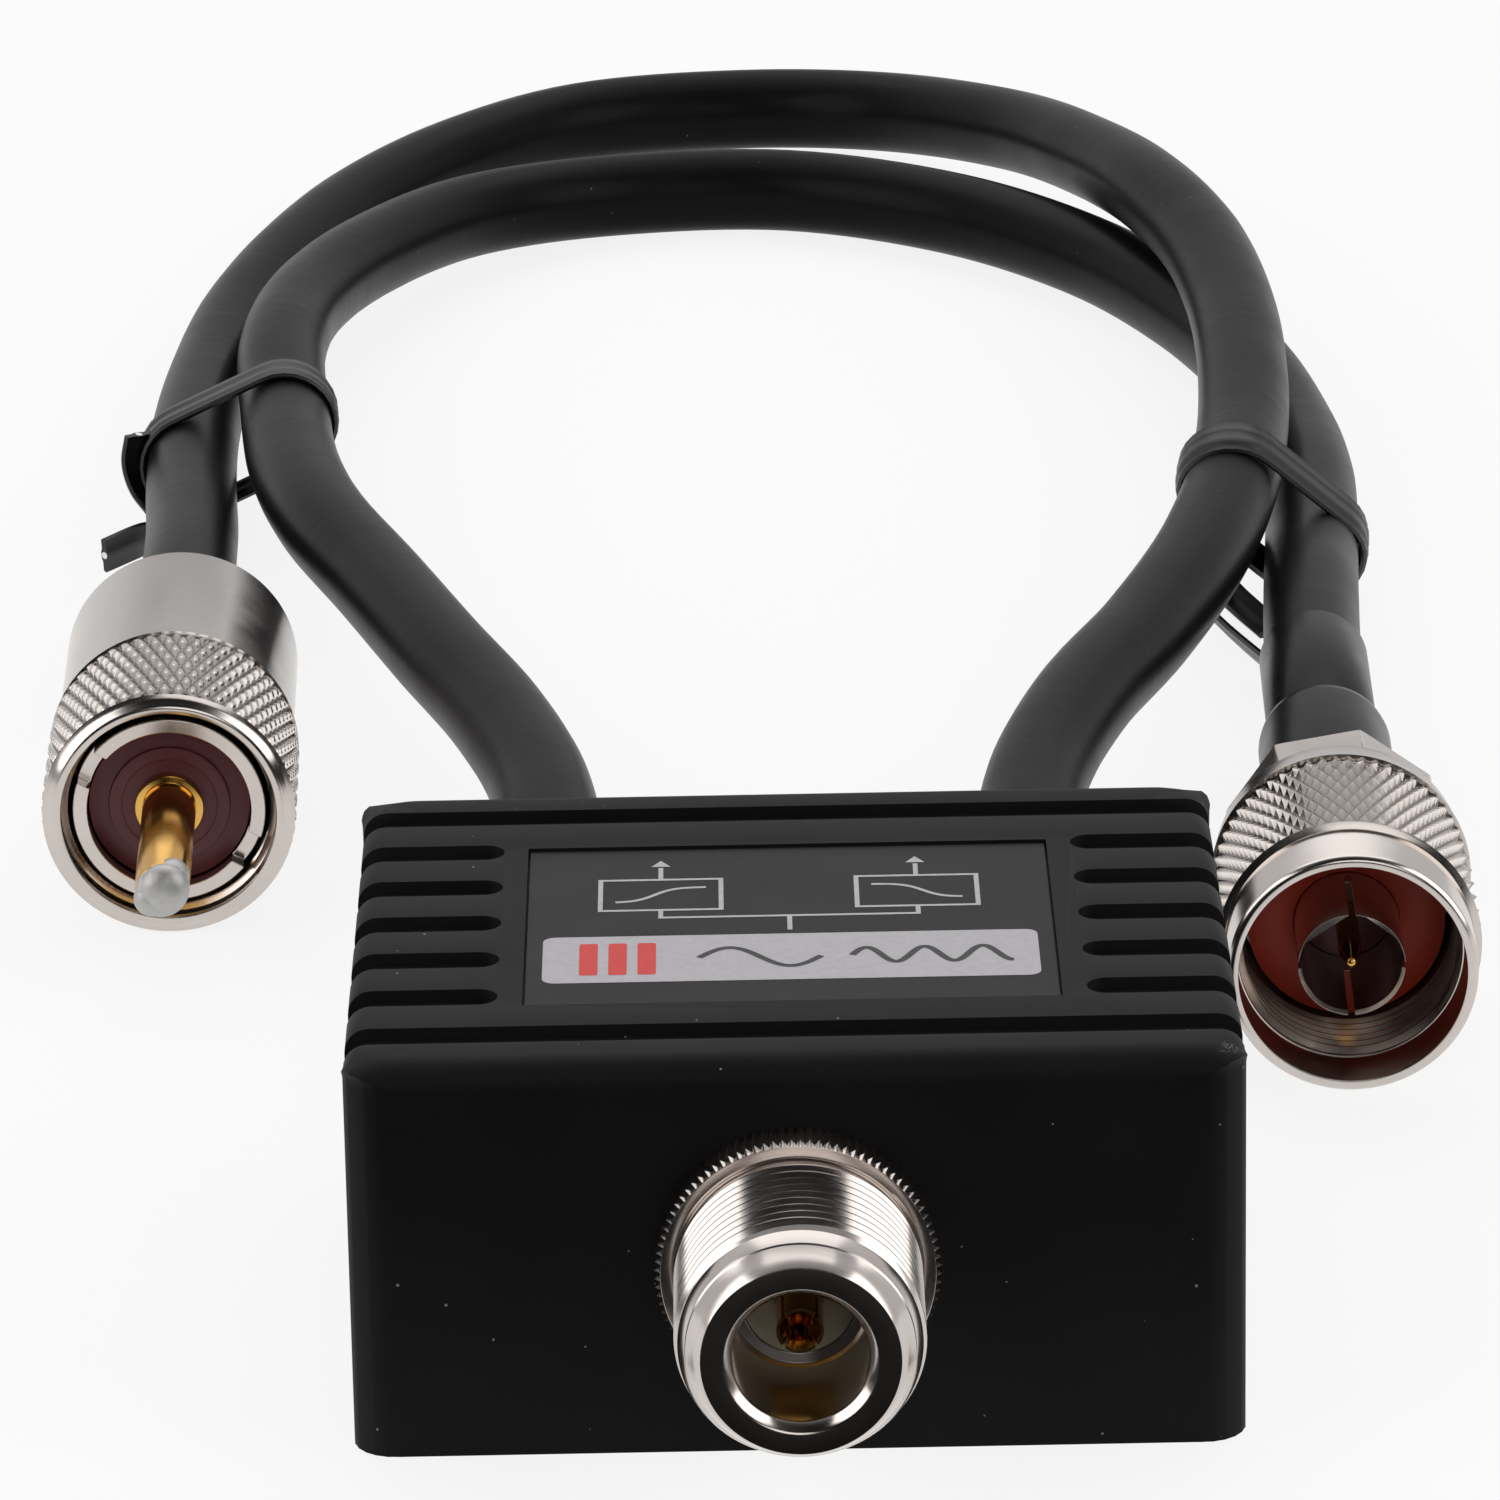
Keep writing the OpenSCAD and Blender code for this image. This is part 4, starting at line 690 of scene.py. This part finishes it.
def smooth_route(points, steps):
    """Places on the smooth curve through a route's points."""
    ends = [2 * points[0] - points[1]] + points + [2 * points[-1] - points[-2]]
    places = []
    for a, b, c, d in zip(ends, ends[1:], ends[2:], ends[3:]):
        for k in range(steps):
            t = k / steps
            square, cube = 2 * a - 5 * b + 4 * c - d, 3 * b - a - 3 * c + d
            places.append((2 * b + (c - a) * t + square * t ** 2 + cube * t ** 3) / 2)
    return places + [points[-1]]


# Black vinyl jacket: satin, with faint cross wrinkles about 1.5 mm apart from bending, small scuffs and dust.
jacket, tree, shader = new_finish("black_vinyl_jacket", {"IOR": 1.5, "Specular IOR Level": 0.06})
here = add(tree, "TexCoord").outputs["Object"]
scuffs = noise(tree, 6, 5)
dusty = dusted(tree, tone(tree, scuffs, "#100f10", "#171617"), 2.2, 0.12, 0.065, "#6f6b68")
way = add(tree, "Attribute", attribute_name="way").outputs["Fac"]
along = add(tree, "CombineXYZ", {"X": way})
pulled = add(tree, "VectorMath", {0: here, 1: (0.12, 0.12, 0.12)}, operation="MULTIPLY")
wrinkle_place = add(tree, "VectorMath", {0: along.outputs[0], 1: pulled.outputs[0]}, operation="ADD")
wrinkles = noise(tree, 1.5, 2, wrinkle_place.outputs[0])
set_surface(tree, shader, dusty, (scuffs, 0.28, 0.4), (wrinkles, 0.3, 0.07))

leads = {}
for lead, route, plug, backs in (
    ("high_band_lead", high_band_route, AT_N, (66.0, 47.0, 39.6)),
    ("low_band_lead", low_band_route, AT_PL, (34.5, 26.7, 13.7)),
):
    points = [Vector(p) * MM for p in route] + [plug @ Vector((0, 0, back * MM)) for back in backs]
    places = smooth_route(points, 8)
    jacketed = bmesh.new()
    draw_out(jacketed, disc(LEAD_R * MM, 32), course(places, [Vector((0, 0, 1))]))
    leads[lead] = keep(lead + "_jacket", jacketed, jacket, "duplexer", "lead_jacket", lead), places


# Twist ties
# Each tie is a flat strip of black vinyl with a steel wire moulded into its middle, wound twice round both
# leads. Its two free ends stick out, and the cut wire shines in them.
TIE_W = 2.3
TIE_T = 0.5
TIE_GAP = 0.2
TIE_END_W = 3


def strip_section(width, thickness, ridge):
    """A flat strip with a rounded ridge on both faces over its wire."""
    face = thickness / 2
    half = [(-width / 2, 0), (-width / 2 + 0.15, face), (-ridge, face), (-ridge * 0.5, thickness * 0.72)]
    half += [(-x, y) for x, y in reversed(half)]
    return [(x * MM, y * MM) for x, y in half] + [(x * MM, -y * MM) for x, y in reversed(half[1:-1])]


# Tie vinyl: black, half glossy, slightly uneven in spots of about 0.5 mm.
tie_vinyl = mottled_finish(
    "black_tie_vinyl", {"IOR": 1.5}, 0.5, 3, ("#0f0f10", "#1a1a1b"), (0.32, 0.46), (0.1, 0.03)
)

# Tie wire: bright cut steel.
cut_steel = {"Metallic": 1, "Roughness": 0.45}
tie_wire = mottled_finish("cut_steel_wire", cut_steel, 0.1, 2, ("#d2d2d0", "#f0f0ee"))


def tie_turn(leads_at, y, turn, dip, lean, shift):
    """The course of one turn of a tie round two leads, and the direction it is broad in."""
    first, second = (Vector(p) for p in leads_at)
    middle = (first + second) / 2
    reach = LEAD_R + TIE_GAP + TIE_T / 2
    apart = (second - first).length / 2
    tilt = math.atan2((second - first).y, (second - first).x)
    outline = []
    for end, start in ((1, -math.pi / 2), (-1, math.pi / 2)):
        for k in range(15):
            angle = start + math.pi * k / 14
            outline.append((end * apart + reach * math.cos(angle), reach * math.sin(angle)))
    spin_tilt = Matrix.Rotation(tilt, 2)
    to_tie = Matrix.Rotation(math.radians(turn), 3, "Z")
    ahead = to_tie @ Vector((0, math.cos(math.radians(dip)), math.sin(math.radians(dip))))
    slab = to_tie @ Matrix.Rotation(math.radians(lean), 3, "X") @ Vector((0, 1, 0))
    places = []
    for spot in outline:
        spot = spin_tilt @ Vector(spot)
        level = to_tie @ Vector((spot.x, 0, spot.y))
        level += ahead * (shift - level.dot(slab)) / ahead.dot(slab)
        places.append((Vector((middle.x, y, middle.y)) + level) * MM)
    return places, slab


ties = {}
for tie, wound_at, ends in (
    (
        "left_tie",
        (((-40.55, 9.5), (-48.3, 6)), 163.5, 3.3, -3.2, 0),
        (
            [
                ((-52, 162.3, 2.4), (0.1, 1, 0)), ((-52.75, 161.7, 4.6), (0.5, 0.85, 0)),
                ((-53, 161.4, 6.8), (0.7, 0.7, 0)), ((-52.6, 161.2, 9), (0.75, 0.64, 0.15)),
            ],
            [
                ((-49.75, 161, 1.75), (1, 0, 0)), ((-50.2, 157, 1.75), (0.95, 0.3, 0)),
                ((-51.2, 154.8, 1.95), (0.6, 0.4, 0.6)), ((-52.3, 152.6, 2.55), (0.2, 0.3, 0.86)),
                ((-55, 149.2, 2.45), (0.2, 0.3, 0.86)),
            ],
        ),
    ),
    (
        "right_tie",
        (((43.35, 6.7), (37, 12.92)), 133.1, -4.9, -2.5, 26.5),
        (
            [
                ((35.2, 134.5, 8.75), (0.94, 0.33, 0)), ((34.9, 137, 5), (0.94, 0.33, 0)),
                ((36.2, 137.2, 2.4), (0.94, 0.33, 0)), ((38.1, 132, 1.9), (0.94, 0.33, 0)),
                ((40, 126, 1.9), (0.94, 0.33, 0)),
            ],
            [
                ((34.9, 132.5, 9), (0.3, 0.6, -0.7)), ((33.6, 132.8, 5.5), (0.3, 0.6, -0.7)),
                ((34.6, 130.8, 2.9), (0.5, 0.3, -0.8)), ((36.4, 126, 2.1), (0.57, 0.18, -0.8)),
                ((39, 118, 2.1), (0.57, 0.18, -0.8)), ((40.5, 114, 2.1), (0.57, 0.18, -0.8)),
            ],
        ),
    ),
):
    strip = bmesh.new()
    for shift in (-TIE_W / 2 - 0.05, TIE_W / 2 + 0.05):
        places, slab = tie_turn(*wound_at, shift)
        draw_out(strip, strip_section(TIE_W, TIE_T, 0.5), course(places + places[:2], [slab]))
    wires = bmesh.new()
    for end in ends:
        places = smooth_route([Vector(place) * MM for place, broad in end], 5)
        broads = smooth_route([Vector(broad) for place, broad in end], 5)
        frames = course(places, broads)
        draw_out(strip, strip_section(TIE_END_W, TIE_T, 0.55), frames)
        cut_end = frames[-1] @ Matrix.Translation((0, 0, 0.02 * MM))
        bmesh.ops.create_circle(wires, cap_ends=True, segments=16, radius=0.3 * MM, matrix=cut_end)
    bmesh.ops.recalc_face_normals(strip, faces=strip.faces[:])
    ties[tie] = [
        keep(tie + "_strip", strip, tie_vinyl, "duplexer", "tie_plastic", tie),
        keep(tie + "_wire_ends", wires, tie_wire, "duplexer", "tinned_steel"),
    ]


# PL plug
# A UHF plug on the low band lead: a knurled coupling nut that turns on a slotted body, all nickel-plated
# brass, a brown insulator pressed into the body, and a hollow gold-plated pin filled with solder.
def knurl(bm, outer, start, end, rise, depth, flat):
    """Rolls a diamond knurl into a turned piece, chamfered at its start and fading out at its end."""
    cut_depth = bm.verts.layers.float.new("cut")
    faded = 0.4
    run_out = 1.2
    for corner in bm.verts:
        flank = Vector((corner.co.x, corner.co.y))
        height = corner.co.z / MM
        if flank.length > (outer - NEAR) * MM and start < height < end:
            round_it = math.atan2(flank.y, flank.x) / (2 * math.pi) * KNURL_CUTS
            up_it = (height - start) / rise
            point = min(ridge_height(round_it + up_it), ridge_height(round_it - up_it))
            point = faded + (min(1, point / flat) - faded) * min(1, (end - height) / run_out)
            # The attribute cut records how far into a cut each corner lies, for the nickel's painted shade.
            corner[cut_depth] = 1 - point
            flank *= 1 - (depth - min(depth * point, height - start)) / outer
            corner.co.x, corner.co.y = flank


def knurl_rows(outer, start, end, rise, depth):
    """Profile points for a knurled length, sixteen to each diamond's length, between two lower ends."""
    count = round((end - start) / rise * 16)
    rows = [(outer, start + (end - start) * i / count) for i in range(1, count)]
    return [(outer - depth, start), *rows, (outer - 0.6 * depth, end)]


# A knurl's outer radius, its start, its end, the length of its diamonds and its depth.
PL_KNURL = (9.4, 0.45, 14.75, 3.475, 0.45)
KNURL_CUTS = 56
pl_nut = turn_on_lathe(
    [
        (7.95, 0), (8.5, 0), *knurl_rows(*PL_KNURL), (8.85, 14.8), (8.85, 34.5), (7.75, 34.5), (7.75, 22),
        (6.48, 22), (6.48, 14), (7.9, 14), (7.9, 0.6),
    ],
    KNURL_CUTS * 8, 0.15,
)
knurl(pl_nut, *PL_KNURL, 0.55)
cut_thread(pl_nut, 7.5, 7.92, 0.9, 13.6)
pl_nut.transform(AT_PL)
pl_nut = keep("pl_nut_knurled", pl_nut, nickel, "pl_nut", "nickel", "pl_coupling_nut")

pl_ring = keep("pl_ring", merged_copy("pl_body"), nickel, "duplexer", "nickel", "pl_body")
ease_edges(pl_ring, 0.15, 2)

# Brown phenolic: pressed and turned, half matt, with a filler grain of about 0.4 mm.
half_matt = {"IOR": 1.6, "Specular IOR Level": 0.3}
phenolic = mottled_finish("brown_phenolic", half_matt, 0.4, 3, ("#4d1e24", "#602a30"), (0.32, 0.45))
insulator = turn_on_lathe(
    [
        (1.62, 2.4), (2.7, 2.4), (2.75, 2.46), (3.5, 2.46), (3.55, 2.4), (4.45, 2.4), (4.5, 2.7), (5.95, 2.7),
        (5.95, 8.7), (1.62, 8.7),
    ],
    96, 0.06,
)
insulator.transform(AT_PL)
pl_insulator = keep("pl_insulator_turned", insulator, phenolic, "duplexer", "brown_phenolic", "pl_insulator")

pin = turn_on_lathe(
    [
        (1.18, -15.5), (1.8, -15.5), (1.98, -15.3), (1.98, 1.6), (2.53, 1.6), (2.53, 2.4), (1.58, 2.4),
        (1.58, 8.7), (1.18, 8.7),
    ],
    64, 0.12,
)
pin.transform(AT_PL)
pl_pin = keep("pl_pin_plated", pin, gold, "duplexer", "gold", "pl_pin")

# Solder: pale grey metal, frozen smooth with soft dimples of about 1 mm.
solder = mottled_finish(
    "frozen_solder", {"Metallic": 1}, 0.9, 3, ("#a6a5a2", "#c8c7c4"), (0.42, 0.62), (0.5, 0.15)
)
tip = merged_copy("pl_solder_tip")
lumps = ((0.2, -0.25, -15.6, 1.85, 0.75), (-0.75, 0.55, -15.5, 1.3, 0.85), (0.75, -0.85, -14.6, 1.25, 1.2))
for x, y, z, radius, stretch in lumps:
    spot = AT_PL @ Matrix.Translation(Vector((x, y, z)) * MM)
    spot = spot @ Matrix.Diagonal((radius, radius, radius * stretch, 1))
    bmesh.ops.create_uvsphere(tip, u_segments=32, v_segments=20, radius=MM, matrix=spot)
tip = keep("pl_tip_solder", tip, solder, "duplexer", "solder", "pl_solder_tip")


# N plug
# An N plug on the high band lead: a knurled coupling nut with eight wrench flats, a body with a slotted
# outer contact and a red-brown gasket, and a thin gold pin. Two shrunk sleeves cover the crimp behind it.
N_KNURL = (9.4, 5.5, 19.45, 2.68, 0.58)
FLATS = 15.1
FLATS_TURN = 12.5
EIGHTH = math.pi / 8
flats_corner_r = FLATS / 2 / math.cos(EIGHTH)
n_nut = turn_on_lathe(
    [
        (8.0, 0), (8.5, 0), (8.8, 0.3), (8.8, 5.4), *knurl_rows(*N_KNURL),
        (9.0, 19.5), (9.0, 22.2), (flats_corner_r, 22.2), (flats_corner_r, 28.2), (5.58, 28.2),
        (5.58, 16.5), (7.9, 16.5), (7.9, 4.4), (8.0, 4.4),
    ],
    KNURL_CUTS * 8, 0.12,
)
knurl(n_nut, *N_KNURL, 1)
for corner in n_nut.verts:
    flank = Vector((corner.co.x, corner.co.y))
    if corner.co.z > 22.25 * MM and flank.length > 7 * MM:
        around = math.atan2(flank.y, flank.x) - math.radians(FLATS_TURN)
        facing = (around + EIGHTH) % (2 * EIGHTH) - EIGHTH
        on_flat = FLATS / 2 * MM / math.cos(EIGHTH - abs(facing))
        flank *= min(1, on_flat / flank.length)
        corner.co.x, corner.co.y = flank
cut_thread(n_nut, 7.5, 7.92, 4.4, 16.2)
n_nut.transform(AT_N)
n_nut = keep("n_nut_knurled", n_nut, nickel, "n_nut", "nickel", "n_coupling_nut")

n_body = keep("n_body_plated", merged_copy("n_body"), nickel, "duplexer", "nickel", "n_body")
ease_edges(n_body, 0.12, 2)

# The contact's slots are sawn, so each ends in a slope, and its mouth is countersunk to a thin edge.
SLOT_END = 9.3
CONTACT_MIDDLE_R = 3.6
n_contact = merged_copy("n_outer_contact")
for corner in n_contact.verts:
    spot = AT_N.inverted() @ corner.co
    outside = math.hypot(spot.x, spot.y) > CONTACT_MIDDLE_R * MM
    if abs(spot.z - SLOT_END * MM) < NEAR * MM and outside:
        corner.co = AT_N @ (spot + Vector((0, 0, 0.8 * MM)))
    elif spot.z < 2 * MM and not outside:
        corner.co = AT_N @ (spot + Vector((spot.x * 0.05, spot.y * 0.05, 0.35 * MM)))
n_contact = keep("n_contact_slotted", n_contact, nickel, "duplexer", "nickel", "n_outer_contact")
ease_edges(n_contact, 0.05, 2)

n_pin = keep("n_pin_plated", merged_copy("n_pin"), gold, "duplexer", "gold", "n_pin")
paint(phenolic, "n_insulator")

# Silicone rubber: red-brown, smooth, softly glossy.
silicone = mottled_finish("red_silicone", {"IOR": 1.42}, 1.2, 3, ("#a5301c", "#b83c26"), (0.4, 0.55))
n_gasket = turn_on_lathe([(3.77, 10.3), (7.0, 10.3), (7.0, 11.5), (3.77, 11.5)], 96, 0.1)
n_gasket.transform(AT_N)
n_gasket = keep("n_gasket_ring", n_gasket, silicone, "duplexer", "red_rubber", "n_gasket")
paint(nickel, "n_ferrule")

# Shrunk sleeve: black polyolefin, satin, drawn tight with faint ripples of about 2.5 mm.
shrunk = {"IOR": 1.5, "Specular IOR Level": 0.06}
sleeve_plastic = mottled_finish(
    "shrunk_polyolefin", shrunk, 2.5, 3, ("#131214", "#1b1a1c"), (0.2, 0.32), (0.15, 0.1)
)
sleeves = []
for sleeve, profile in (
    (
        "n_boot",
        [(4.25, 28.6), (4.9, 28.6), (4.95, 29.2), (4.95, 45.8), (4.8, 46.9), (4.62, 47.0), (4.25, 47.0)],
    ),
    ("n_sleeve", [(3.78, 47.0), (4.15, 47.0), (4.15, 65.6), (4.05, 66.0), (3.78, 66.0)]),
):
    tube = turn_on_lathe(profile, 64, 0.1)
    tube.transform(AT_N)
    sleeves.append(keep(sleeve + "_shrunk", tube, sleeve_plastic, "duplexer", "shrink_sleeve", sleeve))


# Leads with what is on them
# Each lead runs as one cord from inside the case to its plug; the photograph shows both end to end.
# Here each is listed with the pieces on it and its length is summed, and nothing more is done with them.
for lead, on_it in (
    ("high_band_lead", [n_nut, n_body, n_contact, n_pin, n_gasket, *sleeves, *ties["right_tie"]]),
    ("low_band_lead", [pl_nut, pl_ring, pl_insulator, pl_pin, tip, *ties["left_tie"]]),
):
    piece, places = leads[lead]
    length = sum((b - a).length for a, b in zip(places, places[1:]))


# Floor, light and camera
# A white sheet under a broad soft light above and behind, one at each side and a weak one in front.
# A black card that the camera doesn't see lies in front, and the metal's front faces mirror it.
def lay_sheet(name, finish, reach, place):
    """A square sheet of the stage, which reaches this far from its place, in metres."""
    bm = bmesh.new()
    bmesh.ops.create_grid(bm, x_segments=1, y_segments=1, size=reach, matrix=Matrix.Translation(place))
    mesh = bpy.data.meshes.new(name)
    bm.to_mesh(mesh)
    bm.free()
    mesh.materials.append(finish)
    sheet = bpy.data.objects.new(name, mesh)
    bpy.context.scene.collection.objects.link(sheet)
    return sheet


# White paper: it shows almost plain white to the camera and in mirrors, and lights the rest as paper does.
matt_paper = {"Roughness": 0.9, "Specular IOR Level": 0.1}
white_paper, tree, shader = new_finish("white_paper", matt_paper)
set_surface(tree, shader, tone(tree, noise(tree, 1.5, 3), "#f3f3f3", "#f7f7f7"))
ray = add(tree, "LightPath")
seen = maths(tree, "MAXIMUM", ray.outputs["Is Camera Ray"], ray.outputs["Is Glossy Ray"])
shown = maths(tree, "MAXIMUM", seen, ray.outputs["Is Transmission Ray"])
glow = add(tree, "Emission", {"Color": (1, 1, 1, 1), "Strength": 1})
share = maths(tree, "MULTIPLY", shown, 0.85)
sheet_mix = add(tree, "MixShader", {0: share, 1: shader.outputs[0], 2: glow.outputs[0]})
tree.links.new(sheet_mix.outputs[0], tree.nodes["Material Output"].inputs["Surface"])
lay_sheet("floor", white_paper, 2, (0, 0, 0))

# Black card: plain matt black.
card_paper, tree, shader = new_finish("black_card_paper", matt_paper)
shader.inputs["Base Color"].default_value = colour("#1a1a1a")
card = lay_sheet("black_card", card_paper, 1, (0, -1.045, 0.0004))
card.visible_camera = False
card.visible_shadow = False

world = bpy.data.worlds.new("studio")
world.use_nodes = True
bpy.context.scene.world = world
tree = world.node_tree
direction = add(tree, "TexCoord").outputs["Generated"]
axes = add(tree, "SeparateXYZ", {0: direction})
towards_back = add(tree, "MapRange", {"Value": axes.outputs["Y"], "From Min": -0.35, "From Max": 0.45})
room = mix(tree, towards_back.outputs[0], colour("#1c1c1d"), colour("#f4f4f6"))
tree.links.new(room, tree.nodes["Background"].inputs["Color"])
tree.nodes["Background"].inputs["Strength"].default_value = 0.75

for light_name, place, aim, size, power in (
    ("overhead_softbox", (0.0, 0.55, 0.8), (0, 0.1, 0), 1.0, 2.8),
    ("left_softbox", (-0.72, -0.2, 0.4), (0, 0.02, 0.01), 0.7, 3.2),
    ("right_softbox", (0.72, -0.2, 0.4), (0, 0.02, 0.01), 0.7, 3.2),
    ("front_softbox", (0.15, -0.8, 0.42), (0, 0.02, 0.01), 0.5, 1.1),
):
    lamp = bpy.data.lights.new(light_name, "AREA")
    lamp.size = size
    lamp.energy = power
    softbox = bpy.data.objects.new(light_name, lamp)
    softbox.location = place
    softbox.rotation_mode = "QUATERNION"
    softbox.rotation_quaternion = (Vector(aim) - Vector(place)).to_track_quat("-Z", "Y")
    bpy.context.scene.collection.objects.link(softbox)

pitch, yaw, roll = math.radians(20.044), math.radians(-0.098), -0.018
right = Vector((math.cos(yaw), math.sin(yaw), 0))
forward = Vector((-math.sin(yaw) * math.cos(pitch), math.cos(yaw) * math.cos(pitch), -math.sin(pitch)))
up = right.cross(forward)
level_right = math.cos(roll) * right + math.sin(roll) * up
level_up = math.cos(roll) * up - math.sin(roll) * right
camera = bpy.data.objects.new("camera", bpy.data.cameras.new("camera"))
camera.data.sensor_width = 36
camera.data.lens = 216
camera.data.clip_start = 0.01
camera.matrix_world = Matrix.Translation(Vector((-3.36, -552.9, 240.51)) * MM) @ Matrix(
    (level_right, level_up, -forward)
).transposed().to_4x4()
bpy.context.scene.collection.objects.link(camera)
bpy.context.scene.camera = camera
bpy.context.scene.view_settings.view_transform = "Standard"
